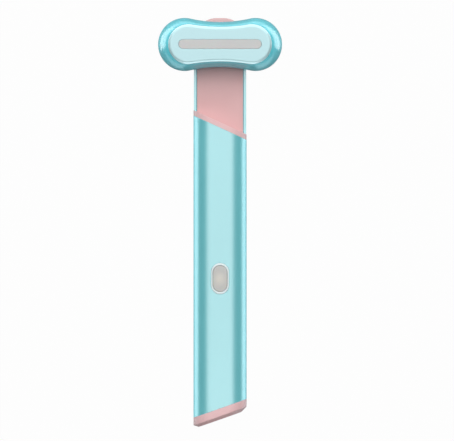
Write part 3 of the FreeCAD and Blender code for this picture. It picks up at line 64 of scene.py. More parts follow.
def linear(code):
    """An sRGB hex colour as the linear RGBA that shaders mix with, by the sRGB standard's curve."""
    channels = [int(code[i:i + 2], 16) / 255 for i in (1, 3, 5)]
    return [c / 12.92 if c <= 0.04045 else ((c + 0.055) / 1.055) ** 2.4 for c in channels] + [1.0]


print("teal #6fbcc4 in linear light:", [round(c, 3) for c in linear("#6fbcc4")])

# %% [markdown]
# ## The camera
# Product pictures of slim goods are taken from straight above with a long lens, so that the sides
# stay parallel. A camera that looks down the Z axis needs no rotation at all: its own view is along
# -Z with Y up. A 787 mm lens four metres up sees a field 183.5 mm wide on the floor.

# %% Camera
LENS_LENGTH, SENSOR_WIDTH = 787.0, 36.0
CAMERA_AT = (2.80, 0.80, 4012.0)

scene = bpy.context.scene
scene.view_settings.view_transform = "Standard"

camera_data = bpy.data.cameras.new("studio_camera")
camera_data.lens, camera_data.sensor_width = LENS_LENGTH, SENSOR_WIDTH
camera = bpy.data.objects.new("studio_camera", camera_data)
camera.location = Vector(CAMERA_AT) * MM
scene.collection.objects.link(camera)
scene.camera = camera
print("field on the floor in mm:", round(CAMERA_AT[2] * SENSOR_WIDTH / LENS_LENGTH, 1))

# %% [markdown]
# ## One way to add a node
# A shader is a small graph. Each node in it has settings, such as the kind of noise, and inputs,
# which are either plain values or joined to another node. One function does both, so every graph
# below reads as a list of nodes from the texture to the surface. The full names of all these nodes
# begin with ShaderNode, which the function adds.

# %% Node helper
def add(tree, kind, inputs=None, ramp=None, **settings):
    """Adds one node. An input is joined if it is given a socket, and set if it is given a value."""
    node = tree.nodes.new("ShaderNode" + kind)
    for name, value in settings.items():
        setattr(node, name, value)
    for name, value in (inputs or {}).items():
        if isinstance(value, bpy.types.NodeSocket):
            tree.links.new(value, node.inputs[name])
        else:
            node.inputs[name].default_value = value
    for i, (place, colour) in enumerate(ramp or ()):
        stops = node.color_ramp.elements
        stop = stops[i] if i < 2 else stops.new(place)
        stop.position, stop.color = place, colour
    return node


# %% [markdown]
# ## The floor
# The wand lies on a pale sweep that looks white. Rays from the camera meet nearly plain white on
# it, and a trace of the lit paper below, which keeps the wand's shadow. Rays from gloss and through
# clear plastic meet mostly the paper. That paper is a mid grey, so it throws little light up under
# the wand and its lower edges stay deep in colour, as they do beside a black flag in a studio.

# %% Floor
FLOOR_HALF, FLOOR_GAP = 2500.0, 0.1
SEEN_WHITE, MIRRORED_WHITE = 0.98, 0.1

corners = [(x * FLOOR_HALF, y * FLOOR_HALF) for x, y in ((-1, -1), (1, -1), (1, 1), (-1, 1))]
floor_mesh = bpy.data.meshes.new("studio_floor")
floor_mesh.from_pydata([(x * MM, y * MM, -FLOOR_GAP * MM) for x, y in corners], [], [(0, 1, 2, 3)])
floor = bpy.data.objects.new("studio_floor", floor_mesh)
scene.collection.objects.link(floor)

floor_finish = bpy.data.materials.new("white_sweep")
floor_finish.use_nodes = True
tree = floor_finish.node_tree
tree.nodes.clear()
path = add(tree, "LightPath").outputs
indirect = add(tree, "Math", {0: path["Is Glossy Ray"], 1: path["Is Transmission Ray"]},
               operation="MAXIMUM")
mirrored = add(tree, "Math", {0: indirect.outputs[0], 1: MIRRORED_WHITE}, operation="MULTIPLY")
seen = add(tree, "Math", {0: path["Is Camera Ray"], 1: SEEN_WHITE}, operation="MULTIPLY")
share = add(tree, "Math", {0: mirrored.outputs[0], 1: seen.outputs[0]}, operation="MAXIMUM")
paper = add(tree, "BsdfDiffuse", {"Color": linear("#8c8c8c")})
white = add(tree, "Emission", {"Color": linear("#ffffff"), "Strength": 1.0})
both = add(tree, "MixShader", {"Fac": share.outputs[0], 1: paper.outputs[0], 2: white.outputs[0]})
add(tree, "OutputMaterial", {"Surface": both.outputs[0]})
floor_finish.cycles.emission_sampling = "NONE"
floor_mesh.materials.append(floor_finish)
print("floor", round(2 * FLOOR_HALF * MM, 1), "m square, white", SEEN_WHITE, MIRRORED_WHITE)

# %% [markdown]
# ## The light
# Satin metal shows the room more than itself. One large softbox hangs over the wand. It is not
# wide, so the tube mirrors it in a pale band with two deep bands beside it, where the dark room
# shows. It starts just in front of the wand and reaches far to the back, so the head's soft shadow
# falls on the neck. The front of the room is brighter, like a pale wall, for the low surfaces that
# face it. The world holds softbox and room in one go: where a ray's direction lies between the
# box's edges it is bright, and elsewhere dim.

# %% World: softbox overhead in a dim room
# All edges are parts of a direction of length 1: X points right, Y to the back, Z up.
SOFTBOX = 1.72
SIDE_EDGE, FRONT_EDGE, REAR_EDGE = (0.34, 0.74), (-0.16, 0.06), (0.60, 0.80)
HORIZON_EDGE = (0.0, 0.2)
ROOM, ROOM_FRONT, ROOM_EDGE = 0.05, 0.60, (-0.8, -0.4)

world = bpy.data.worlds.new("studio")
scene.world = world
world.use_nodes = True
tree = world.node_tree
tree.nodes.clear()
direction = add(tree, "TexCoord").outputs["Generated"]
axes = add(tree, "SeparateXYZ", {"Vector": direction}).outputs
aside = add(tree, "Math", {0: axes["X"]}, operation="ABSOLUTE").outputs[0]

# Each soft edge: the part of the direction, where it starts and ends, the level before and after.
soft_edges = []
for part, (start, end), before, after in (
    (aside, SIDE_EDGE, 1.0, 0.0),
    (axes["Y"], FRONT_EDGE, 0.0, 1.0),
    (axes["Y"], REAR_EDGE, 1.0, 0.0),
    (axes["Z"], HORIZON_EDGE, 0.0, SOFTBOX),
    (axes["Y"], ROOM_EDGE, ROOM_FRONT, ROOM),
):
    soft_edges.append(add(
        tree, "MapRange",
        {"Value": part, "From Min": start, "From Max": end, "To Min": before, "To Max": after},
        interpolation_type="SMOOTHSTEP",
    ).outputs[0])

box, *more_edges, room = soft_edges
for edge in more_edges:
    box = add(tree, "Math", {0: box, 1: edge}, operation="MULTIPLY").outputs[0]
level = add(tree, "Math", {0: box, 1: room}, operation="ADD").outputs[0]
studio = add(tree, "Background", {"Color": linear("#ffffff"), "Strength": level})
backdrop = add(tree, "Background", {"Color": linear("#ffffff"), "Strength": 1.0})
ray = add(tree, "LightPath").outputs
sky = add(tree, "MixShader",
          {"Fac": ray["Is Camera Ray"], 1: studio.outputs[0], 2: backdrop.outputs[0]})
add(tree, "OutputWorld", {"Surface": sky.outputs[0]})
print("softbox", SOFTBOX, "room", ROOM, "to", ROOM_FRONT)

# %% [markdown]
# ## Two key lamps
# The softbox overhead is for the shine. Most of the colour comes from two square lamps, left and
# right, thirty degrees up and turned some way towards the back. They light the tube's flanks and
# the ends of the head, leave the head's lower side in shade, and cast its soft shadow on the neck.
# Their own mirror images would break the clean bands on the satin metal, so they are hidden from
# glossy rays, as if a flag stood in front of them.

# %% Key lamps
def area_lamp(name, watts, size):
    """A rectangular lamp that shines along its own -Z. size: width and height in metres."""
    data = bpy.data.lights.new(name, "AREA")
    data.shape, data.energy = "RECTANGLE", watts
    data.size, data.size_y = size
    lamp = bpy.data.objects.new(name, data)
    scene.collection.objects.link(lamp)
    return lamp


LAMP_WATTS, LAMP_REACH, LAMP_SIZE = 3.5, 1.0, 0.8
LAMP_TURN, LAMP_LIFT = math.radians(42), math.radians(30)

for name, side in (("left_key", -1), ("right_key", 1)):
    lamp = area_lamp(name, LAMP_WATTS, (LAMP_SIZE, LAMP_SIZE))
    toward = Vector((side * math.cos(LAMP_TURN), math.sin(LAMP_TURN), 0)) * math.cos(LAMP_LIFT)
    toward.z = math.sin(LAMP_LIFT)
    lamp.location = toward * LAMP_REACH
    lamp.rotation_euler = (-toward).to_track_quat("-Z", "Y").to_euler()
    lamp.visible_glossy = False
    print(name, LAMP_WATTS, "W at", [round(v, 2) for v in lamp.location], "m")

# %% [markdown]
# ## Reflector cards
# A curved, shiny flank mirrors what stands around it, so bright cards are set there just for that
# reflection. Low ones lie along the handle, beside the head's ends and behind it, and the two along
# the handle are pale blue, so its flanks keep their teal. A tall card leans away behind the head
# and another stands upright in front of the wand, for the soft highlights on the rolled edges. All
# are lamps that glossy rays alone can see, so they neither light the scene nor show in it. Too
# bright a card sparkles on the grain of a flank seen at a slant.

# %% Reflector cards
def reflector(name, brightness, outward, low_edge, high_edge, span, colour="#ffffff"):
    """A card for glossy rays. Edges: (distance outward, height) in mm. Span: from, to across."""
    outward, up = Vector(outward), Vector((0, 0, 1))
    low, high = [outward * reach + up * height for reach, height in (low_edge, high_edge)]
    slope = (high - low).normalized()
    across = up.cross(outward)
    wide, deep = (span[1] - span[0]) * MM, (high - low).length * MM
    lamp = area_lamp(name, brightness * math.pi * wide * deep, (wide, deep))
    lamp.location = ((low + high) / 2 + across * (span[0] + span[1]) / 2) * MM
    lamp.rotation_euler = Matrix((across, slope, across.cross(slope))).transposed().to_euler()
    lamp.data.color = linear(colour)[:3]
    lamp.visible_camera = lamp.visible_diffuse = lamp.visible_transmission = False
    print(name, "brightness", brightness, "size in mm:", round(wide / MM), "x", round(deep / MM))


RIGHT, LEFT, BACK, FRONT = (1, 0, 0), (-1, 0, 0), (0, 1, 0), (0, -1, 0)
SIDE_CARDS = [
    ("handle_card", 1.6, (17, 0.4), (90, 0.4), (-110, 50), "#d3f7ff"),
    ("head_card", 3.6, (38, 0.4), (76, 14), (66, 128), "#ffffff"),
]
for name, brightness, low_edge, high_edge, (low_y, high_y), colour in SIDE_CARDS:
    reflector("right_" + name, brightness, RIGHT, low_edge, high_edge, (low_y, high_y), colour)
    reflector("left_" + name, brightness, LEFT, low_edge, high_edge, (-high_y, -low_y), colour)
reflector("rear_card", 1.6, BACK, (112, 8), (150, 80), (-100, 100))
reflector("rear_floor_card", 1.2, BACK, (98, 0.4), (220, 8), (-38, 38))
reflector("front_card", 2.2, FRONT, (150, 60), (150, 260), (-80, 80))

# %% [markdown]
# ## How a finish is built
# No real surface is one flat colour. Each finish here starts from the same four layers: a base
# colour that drifts a little over some millimetres, a roughness that drifts with it, a fine relief
# of a real grain size, and the shader's own numbers for gloss. Textures are placed in millimetres
# on the object itself, so a grain of 0.2 mm is 0.2 mm on every piece. A real grain that is too fine
# to show is drawn coarser, down to about a tenth of a millimetre on the small pieces inside.

# %% Finish helper
CLOUD_LOW, CLOUD_HIGH = 0.3, 0.7
CLOUD_DETAIL, GRAIN_DETAIL = 3.0, 2.0
finishes = {}


def finish(slot, colours, roughness, grain, relief, drift, uneven=0.04, **sockets):
    """A material in layers. colours: two sRGB codes. grain, relief and drift: sizes in mm."""
    material = bpy.data.materials.new(slot)
    material.use_nodes = True
    tree = material.node_tree
    shader = tree.nodes["Principled BSDF"]
    position = add(tree, "TexCoord").outputs["Object"]
    scaled = add(tree, "VectorMath", {"Vector": position, "Scale": 1.0 / MM}, operation="SCALE")
    mm = scaled.outputs[0]
    noise = add(tree, "TexNoise", {"Vector": mm, "Scale": 1.0 / drift, "Detail": CLOUD_DETAIL})
    cloud = noise.outputs["Fac"]
    tint = add(tree, "ValToRGB", {"Fac": cloud},
               ramp=[(CLOUD_LOW, linear(colours[0])), (CLOUD_HIGH, linear(colours[1]))])
    patchy = add(tree, "MapRange", {
        "Value": cloud, "From Min": CLOUD_LOW, "From Max": CLOUD_HIGH,
        "To Min": roughness - uneven, "To Max": roughness + uneven,
    })
    dots = add(tree, "TexNoise", {"Vector": mm, "Scale": 1.0 / grain, "Detail": GRAIN_DETAIL})
    bump = add(tree, "Bump", {
        "Height": dots.outputs["Fac"], "Strength": 1.0, "Distance": relief * MM,
    })
    for layer, socket in ((tint, "Base Color"), (patchy, "Roughness"), (bump, "Normal")):
        tree.links.new(layer.outputs[0], shader.inputs[socket])
    for name, value in sockets.items():
        shader.inputs[name.replace("_", " ")].default_value = value
    finishes[slot] = material
    return tree, shader, mm, bump


print("layers: drifting colour and roughness, relief, gloss")

# %% [markdown]
# ## Anodised aluminium
# The handle is an aluminium extrusion that was blasted with fine glass beads and then anodised: an
# oxide skin grows on it and takes up the teal dye. The dyed skin gives most of the colour, so it is
# the base here. The clear sealed layer over it is a strong, soft coat that mirrors the softbox, and
# a teal sheen keeps the steep flanks coloured. The bead marks are about 0.05 mm across, too fine
# to show, so they are drawn at 0.25 mm.

# %% Anodised handle
finish(
    "anodised_handle", ("#74dce4", "#78e0e8"), roughness=0.4, grain=0.25, relief=0.0012, drift=18.0,
    uneven=0.015, Metallic=0.05, Coat_Weight=1.0, Coat_Roughness=0.3, Coat_IOR=3.4,
    Sheen_Weight=1.0, Sheen_Roughness=0.5, Sheen_Tint=linear("#60f0ff"),
)
print("anodised handle mixed")

# %% [markdown]
# ## Lacquered head and plated face
# The head is moulded ABS under a lacquer of the same teal: a pearl base coat, whose fine flakes
# scatter light and tint nothing that is mirrored, and a clear coat that is glossier than the
# handle. So its highlights are nearly white. The face that touches the skin is a metal plate with
# a pale satin plating. About half of what it shows is its own colour and the rest is the softbox
# above, so it is set nearly half metallic.

# %% Head and face
finish(
    "coated_head", ("#64d8e6", "#68dcea"), roughness=0.4, grain=0.35, relief=0.0006, drift=14.0,
    uneven=0.02, Specular_IOR_Level=0.3, Coat_Weight=0.6, Coat_Roughness=0.18, Coat_IOR=1.9,
)
finish(
    "coated_face", ("#c4e8ed", "#c7ebf0"), roughness=0.4, grain=0.3, relief=0.0006, drift=12.0,
    uneven=0.02, Metallic=0.45,
)
print("head and face mixed")

# %% [markdown]
# ## Rose casings
# The caps and the neck tray are moulded ABS. The steel mould was spark eroded, which leaves a fine
# matt texture, here 0.3 mm pits about three microns deep, so highlights spread out and the pink
# looks powdery. ABS has an IOR near 1.54. The tray lies in the head's shade, where a clear
# reflection would wash the pink out, so its specular level is low.

# %% Rose casing
finish(
    "rose_casing", ("#e2b7b7", "#e5bbbb"), roughness=0.5, grain=0.3, relief=0.003, drift=9.0,
    uneven=0.03, IOR=1.54, Specular_IOR_Level=0.15,
)
finish(
    "rose_cap", ("#f1c6c7", "#f4cacb"), roughness=0.45, grain=0.3, relief=0.003, drift=9.0,
    uneven=0.03, IOR=1.54,
)
print("rose casing and rose cap mixed")

# %% [markdown]
# ## Light window
# The window over the row of lamps is frosted polycarbonate. Light enters it, scatters and comes
# back out, which looks like a soft grey with no clear reflection. Its IOR is 1.58, and a little
# subsurface scattering stands for the frosting inside.

# %% Frosted window
finish(
    "light_window", ("#d0d0d0", "#d3d3d2"), roughness=0.5, grain=0.2, relief=0.002, drift=5.0,
    uneven=0.03, IOR=1.58, Subsurface_Weight=0.15, Subsurface_Scale=0.0008,
)
print("window mixed")

# %% [markdown]
# ## Button and its ring
# The ring is pale, polished ABS with a pearl lacquer, nearly white. The button in it is milky
# polycarbonate over a small warm lamp, which is not a light in this scene. Its faint glow is
# painted:
# a round ramp placed in millimetres about the button's middle, added as weak emission.

# %% Ring and button
BUTTON_Y, BUTTON_FACE_Z = -22.6, 15.0
GLOW_CORE, GLOW_REACH, GLOW_LEVEL = 0.3, 3.4, 0.10

finish(
    "pale_bezel", ("#ecfafc", "#effcfd"), roughness=0.22, grain=0.4, relief=0.0006, drift=4.0,
    uneven=0.02, IOR=1.54, Coat_Weight=1.0, Coat_Roughness=0.12,
)
tree, shader, mm, bump = finish(
    "pearl_button", ("#cac9c5", "#cecdc9"), roughness=0.42, grain=0.3, relief=0.0012, drift=4.0,
    uneven=0.03, IOR=1.58, Subsurface_Weight=0.2, Subsurface_Scale=0.0006,
)
# painted glow: weak emission, strongest in the button's middle, stands in for the lamp beneath
middle = (0.0, BUTTON_Y, BUTTON_FACE_Z)
to_middle = add(tree, "VectorMath", {0: mm, 1: middle}, operation="SUBTRACT")
reach = add(tree, "VectorMath", {0: to_middle.outputs[0]}, operation="LENGTH")
glow = add(tree, "MapRange", {
    "Value": reach.outputs["Value"], "From Min": GLOW_CORE, "From Max": GLOW_REACH,
    "To Min": GLOW_LEVEL, "To Max": 0.0,
}, interpolation_type="SMOOTHSTEP")
tree.links.new(glow.outputs[0], shader.inputs["Emission Strength"])
shader.inputs["Emission Color"].default_value = linear("#fff0c8")
finish(
    "button_light", ("#e9e6da", "#efece2"), roughness=0.35, grain=0.3, relief=0.001, drift=3.0,
    IOR=1.58, Transmission_Weight=0.3,
)
print("ring, button and light guide mixed")

# %% [markdown]
# ## Inside the handle and head
# The inner pieces show only when the wand is open, but each is made of something real, so each
# gets its own finish: a glass-filled tray, a green laminate with its weave, a foil-wrapped cell,
# bronze, steel and rubber. Most differ in numbers alone, so a loop mixes them from a table.

# %% Inner plastics and rubbers
# Each row: slot, two colours, roughness, then grain, relief and drift in mm, and the IOR.
INNER_PLASTICS = [
    # glass-filled nylon, moulded, with pale fibres just under a satin skin
    ("black_chassis", ("#191b1d", "#24272a"), 0.55, 0.35, 0.006, 1.2, 1.53),
    # epoxy moulding compound, dulled by the laser that marks it
    ("chip_black", ("#1c1d20", "#232427"), 0.6, 0.12, 0.003, 0.8, 1.55),
    # closed-cell polyethylene foam with small pores
    ("foam_strip", ("#4a4d50", "#5c6063"), 0.92, 0.3, 0.05, 0.7, 1.45),
    # turned acetal, waxy and slippery
    ("bush_plastic", ("#ece8dc", "#f1eee4"), 0.38, 0.5, 0.002, 3.0, 1.48),
    # white PPA housing with a silicone fill
    ("diode_package", ("#f2f0e6", "#f7f5ec"), 0.45, 0.2, 0.002, 0.9, 1.5),
    # moulded silicone rubber
    ("cradle_rubber", ("#2c2e31", "#34373a"), 0.75, 0.25, 0.006, 1.5, 1.41),
    # extruded PVC, smooth with slight draw marks
    ("cable_jacket", ("#2a2c30", "#303338"), 0.45, 0.6, 0.004, 3.0, 1.53),
    # natural nylon housing, moulded
    ("connector_nylon", ("#e4dfd0", "#ebe7da"), 0.5, 0.25, 0.004, 1.5, 1.53),
    # polyimide film, clear amber and glossy
    ("heater_amber", ("#c27a1d", "#cf8a2a"), 0.25, 0.8, 0.002, 2.5, 1.7),
]
for slot, colours, roughness, grain, relief, drift, ior in INNER_PLASTICS:
    finish(slot, colours, roughness, grain, relief, drift, IOR=ior)
print("inner plastics:", len(INNER_PLASTICS), " finishes so far:", len(finishes))

# %% [markdown]
# ## Inner metals
# A bare metal tints all that it mirrors, so it is fully metallic, and it keeps the default IOR,
# because its colour already says how it reflects. How it was made sets its roughness: ground steel
# is bright, sintered metal is dull.

# %% Inner metals
# Each row: slot, two colours, roughness, then grain, relief and drift in mm.
INNER_METALS = [
    # drawn stainless sheet, fine lines from the press
    ("socket_steel", ("#b9bbbd", "#c6c8c9"), 0.3, 0.2, 0.002, 1.5),
    # nickel-plated cold-headed steel
    ("screw_steel", ("#a9abab", "#bdbfbf"), 0.27, 0.15, 0.003, 0.8),
    # spindle and clip, centreless ground
    ("ground_steel", ("#b4b6b8", "#c0c2c4"), 0.22, 0.12, 0.0015, 1.0),
    # phosphor bronze strip and wire
    ("spring_metal", ("#c69a5e", "#d2a96d"), 0.3, 0.15, 0.0015, 1.0),
    # zinc-plated deep-drawn can
    ("motor_steel", ("#b0b3b2", "#bcbfbe"), 0.33, 0.2, 0.002, 1.5),
    # sintered tungsten alloy, dark and granular
    ("weight_metal", ("#6f6c68", "#7c7974"), 0.45, 0.12, 0.005, 0.7),
    # hard gold over nickel, for the socket's contacts
    ("contact_gold", ("#e0b45c", "#e8c070"), 0.25, 0.1, 0.001, 0.6),
]
for slot, colours, roughness, grain, relief, drift in INNER_METALS:
    finish(slot, colours, roughness, grain, relief, drift, Metallic=1.0)
print("inner metals:", len(INNER_METALS), " finishes so far:", len(finishes))

# %% [markdown]
# ## Laminate and foil
# A circuit board is woven glass cloth in epoxy under green solder mask; the weave shows as a fine
# check of about half a millimetre. The cell is wrapped in aluminium-laminate foil with a soft
# embossed ripple. Both need a pattern of their own, so they change the relief of a plain finish.

# %% Board laminate and cell foil
WEAVE_PITCH, RIPPLE_PITCH = 0.5, 0.9

tree, shader, mm, bump = finish(
    "board_laminate", ("#1d5a45", "#246a51"), roughness=0.38, grain=0.3, relief=0.002, drift=2.5,
    IOR=1.55,
)
weave = add(tree, "TexChecker", {"Vector": mm, "Scale": 1.0 / WEAVE_PITCH})
tree.links.new(weave.outputs["Fac"], bump.inputs["Height"])
tree, shader, mm, bump = finish(
    "cell_foil", ("#b7bbbf", "#c5c9cc"), roughness=0.36, grain=0.4, relief=0.004, drift=5.0,
    Metallic=0.9,
)
ripple = add(tree, "TexVoronoi", {"Vector": mm, "Scale": 1.0 / RIPPLE_PITCH})
tree.links.new(ripple.outputs["Distance"], bump.inputs["Height"])
print("all finishes:", len(finishes))

# %% [markdown]
# ## Rings of points
# Nearly every piece of the wand is a stack of closed outlines: the tube is one stadium shape drawn
# along the handle, and the head is one peanut shape that grows and shrinks with height. A function
# that joins rings of equal length with quads makes clean, even meshes, and lets an edge be rounded
# simply by adding a few rings.

# %% Mesh from rings
WELD = 0.0005


def weld(name, shape):
    """Joins points that touch, turns all faces outward and makes an object of the shape."""
    bmesh.ops.remove_doubles(shape, verts=shape.verts, dist=WELD * MM)
    bmesh.ops.recalc_face_normals(shape, faces=shape.faces)
    mesh = bpy.data.meshes.new(name)
    shape.to_mesh(mesh)
    shape.free()
    thing = bpy.data.objects.new(name, mesh)
    scene.collection.objects.link(thing)
    return thing


def bridge(shape, low, high):
    """Joins two loops of points with quads, all the way round."""
    for i in range(len(low)):
        j = (i + 1) % len(low)
        shape.faces.new((low[i], low[j], high[j], high[i]))


def mesh_from_rings(name, rings, hollow=False):
    """Joins rings of points in mm. hollow joins last to first; else both ends are capped."""
    shape = bmesh.new()
    loops = [[shape.verts.new(Vector(point) * MM) for point in ring] for ring in rings]
    for low, high in zip(loops, loops[1:] + ([loops[0]] if hollow else [])):
        bridge(shape, low, high)
    if not hollow:
        shape.faces.new(loops[0][::-1])
        shape.faces.new(loops[-1])
    return weld(name, shape)


def cosine(degrees):
    return math.cos(math.radians(degrees))


def sine(degrees):
    return math.sin(math.radians(degrees))


def rounded(ring, inset, z, radius, steps=6, up=True):
    """Rings for the quarter round of an outer edge, at its top (up) or at its bottom."""
    turns = [90 * i / steps for i in range(steps + 1)]
    sign = 1 if up else -1
    return [ring(inset + radius * (1 - cosine(t)), z - sign * radius * (1 - sine(t)))
            for t in turns[::sign]]


print("ring tools ready, points weld within", WELD, "mm")

# %% [markdown]
# ## Holes and soft edges
# A boolean takes a cutter's space out of a piece, and a bevel breaks sharp edges, as tumbling
# does. Both are modifiers, and settling each at once leaves a plain mesh for the next step. Where
# rings already round an edge, shading smoothly up to an angle is enough.

# %% Carve, soften and smooth
EDGE_STEPS, EDGE_ANGLE = 2, 30.0
SMOOTH_ANGLE, CAP_SMOOTH_ANGLE = 32.0, 40.0


def settle(thing):
    """Turns what the modifiers show into the object's own mesh."""
    bpy.context.view_layer.update()
    seen = thing.evaluated_get(bpy.context.evaluated_depsgraph_get())
    mesh = bpy.data.meshes.new_from_object(seen)
    thing.modifiers.clear()
    thing.data = mesh


def carve(thing, *cutters):
    """Cuts the space of each cutter out of the thing."""
    for cutter in cutters:
        hole = thing.modifiers.new("hole", "BOOLEAN")
        hole.operation, hole.solver, hole.object = "DIFFERENCE", "EXACT", cutter
        settle(thing)
        bpy.data.objects.remove(cutter)


def soften(thing, width):
    """Rounds every edge sharper than EDGE_ANGLE by a width in mm."""
    edge = thing.modifiers.new("edge", "BEVEL")
    edge.width, edge.segments = width * MM, EDGE_STEPS
    edge.limit_method, edge.angle_limit = "ANGLE", math.radians(EDGE_ANGLE)
    edge.harden_normals = True
    thing.data.shade_smooth()
    settle(thing)


def smooth(thing, angle=SMOOTH_ANGLE):
    """Shades the thing smoothly, apart from edges sharper than an angle."""
    thing.data.shade_smooth()
    thing.data.set_sharp_from_angle(angle=math.radians(angle))


print("edges sharper than", EDGE_ANGLE, "degrees can be softened")

# %% [markdown]
# ## Putting a piece in place
# Every piece needs the same four things: its finish, the CAD body that it moves with, the CAD nodes
# that it stands for, and the finish slot in the record. One function does them all and prints what
# was made, so nothing is left hanging without a body.

# %% Place a piece
pieces = []


def place(thing, look, body, stands_for):
    """Gives a piece its finish and body, and hides the CAD nodes that it stands for."""
    thing.data.materials.clear()
    thing.data.materials.append(finishes[look])
    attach(thing, body)
    if stands_for:
        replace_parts(thing, *stands_for)
    pieces.append(thing)
    size = [round(d / MM, 2) for d in thing.dimensions]
    print(f"{thing.name}: {len(thing.data.vertices)} points, {size} mm, rides on {body}")


# %% [markdown]
# ## The tube's section
# The extrusion's outline is a stadium: half circles of 7.5 mm joined by short flats. The same
# outline, taken in by some distance, also gives the tube's inside and every cap that fits it. One
# point on each side sits exactly where the neck's rails end, so the tube can be cut down there.

# %% Section of the tube
TUBE_WIDTH, TUBE_HEIGHT, TUBE_WALL = 21.4, 15.0, 1.0
RAIL_TOP = 6.0
TUBE_MIDDLE = TUBE_HEIGHT / 2
TUBE_FLAT = (TUBE_WIDTH - TUBE_HEIGHT) / 2
RAIL_INDEX, UPPER_STEPS = 16, 20


def on_circle(radius, degrees):
    """The point at an angle on a circle about the origin."""
    return radius * cosine(degrees), radius * sine(degrees)


def tube_section(inset):
    """Outline of the tube as (x, z), counter-clockwise from the bottom, taken in by inset."""
    radius = TUBE_MIDDLE - inset
    rail = math.degrees(math.asin((RAIL_TOP - TUBE_MIDDLE) / radius))
    angles = [-90 + (rail + 90) * i / RAIL_INDEX for i in range(RAIL_INDEX)]
    angles += [rail + (90 - rail) * i / UPPER_STEPS for i in range(UPPER_STEPS + 1)]
    arc = [(TUBE_FLAT + x, TUBE_MIDDLE + z) for x, z in (on_circle(radius, a) for a in angles)]
    return arc + [(-x, z) for x, z in reversed(arc)]


print("section points:", len(tube_section(0.0)), " at the rails:", tube_section(0.0)[RAIL_INDEX])

# %% [markdown]
# ## Slanted seams
# Seen from above, both mouths of the tube are cut on the slant. A slanted plane only gives each
# point across the wand its own place along it, so it is a function from x to y. A thickness square
# to the plane reaches a little further along the wand.

# %% Slanted seams
END_ANGLE, SHOULDER_ANGLE = 19.4, 24.6
END_FACE_Y, END_SEAM_Y = -79.396, -74.901
SHOULDER_Y, NECK_END_Y = 38.2, 73.0


def end_plane(x, offset=0.0):
    return END_SEAM_Y + offset + x * math.tan(math.radians(END_ANGLE))


def shoulder_plane(x, offset=0.0):
    return SHOULDER_Y + offset - x * math.tan(math.radians(SHOULDER_ANGLE))


def along(thickness, angle):
    """How far a thickness square to a plane at an angle reaches along the wand."""
    return thickness / cosine(angle)


def slanted(outline, plane, offset):
    """An outline across the wand, as (x, z), set on a slanted plane."""
    return [(x, plane(x, offset), z) for x, z in outline]


print("end seam runs", round(end_plane(TUBE_WIDTH) - end_plane(0.0), 1), "mm along the wand")

# %% [markdown]
# ## Handle tube
# The real sleeve is one extrusion, sawn on the slant at both ends and milled down to two low rails
# along the neck. A boolean could cut a plain tube that way, but it leaves long slivers. Rows of
# points on the slanted planes themselves give tidy faces, and only the button's hole is cut out. A
# 0.12 mm edge round stands for the tumbling that breaks every sharp edge.

# %% Rows of the sleeve
# Each row lies on a slanted plane, or straight across the wand at a y in mm.
BUTTON_ROOM = 8.5
ROWS = [end_plane, -66.0, BUTTON_Y - BUTTON_ROOM, BUTTON_Y + BUTTON_ROOM, 28.0, shoulder_plane,
        52.0, NECK_END_Y]


def build_sleeve():
    """Rows of outer and inner points, joined wherever the real sleeve has its wall."""
    sections = tube_section(0.0), tube_section(TUBE_WALL)
    count = len(sections[0])
    sides = [(i, (i + 1) % count) for i in range(count)]
    rail_left = count - 1 - RAIL_INDEX
    seam_row = ROWS.index(shoulder_plane)
    shape = bmesh.new()
    rows = [
        [[shape.verts.new(Vector((x, row(x) if callable(row) else row, z)) * MM)
          for x, z in section] for section in sections] for row in ROWS
    ]

    def upper(i):
        return RAIL_INDEX <= i < rail_left

    for number, (near, far) in enumerate(zip(rows, rows[1:])):
        for i, j in sides:
            if number < seam_row or not upper(i):
                shape.faces.new((near[0][i], near[0][j], far[0][j], far[0][i]))
                shape.faces.new((near[1][i], far[1][i], far[1][j], near[1][j]))
    # the cut ends: the whole mouth, the upper part at the shoulder, the rails at the neck's end
    for number, wanted in ((0, lambda i: True), (seam_row, upper), (-1, lambda i: not upper(i))):
        out, inside = rows[number]
        for i, j in sides:
            if wanted(i):
                shape.faces.new((out[i], out[j], inside[j], inside[i]))
    for near, far in zip(rows[seam_row:], rows[seam_row + 1:]):
        for k in (RAIL_INDEX, rail_left):
            shape.faces.new((near[0][k], near[1][k], far[1][k], far[0][k]))
    return weld("tube_sleeve", shape)


sleeve = build_sleeve()
print("sleeve rows:", len(ROWS), " points:", len(sleeve.data.vertices))

# %% Handle tube with the button's hole
RING_LONG, RING_WIDE = 12.5, 7.2
RING_STRAIGHT, RING_RADIUS = (RING_LONG - RING_WIDE) / 2, RING_WIDE / 2
HOLE_GAP, HOLE_LOW, HOLE_HIGH = 0.05, 8.0, 20.0
SOFT_EDGE = 0.12


def stadium(straight, radius, z, middle_y=0.0, steps=32, flat_steps=4, upright=True):
    """A closed stadium outline in plan at height z: half circles joined by straight sides."""
    arc = [on_circle(radius, -90 + 180 * i / steps) for i in range(steps)]
    ring = [(straight + x, y) for x, y in arc]
    ring += [(straight - 2 * straight * (i / flat_steps), radius) for i in range(flat_steps)]
    ring += [(-x, -y) for x, y in ring]
    if upright:
        ring = [(-y, x) for x, y in ring]
    return [(x, y + middle_y, z) for x, y in ring]


carve(sleeve, mesh_from_rings("hole", [
    stadium(RING_STRAIGHT, RING_RADIUS + HOLE_GAP, z, BUTTON_Y) for z in (HOLE_LOW, HOLE_HIGH)
]))
soften(sleeve, SOFT_EDGE)
place(sleeve, "anodised_handle", "handle", ["handle_tube"])

# %% [markdown]
# ## Shoulder band
# A pink cap closes the slanted mouth of the tube above the neck. Outside the tube it is a band two
# millimetres thick; a lip drops to the tray, and a plug holds it inside. Each is the section's
# upper part pulled between two slanted planes, with soft moulded edges.

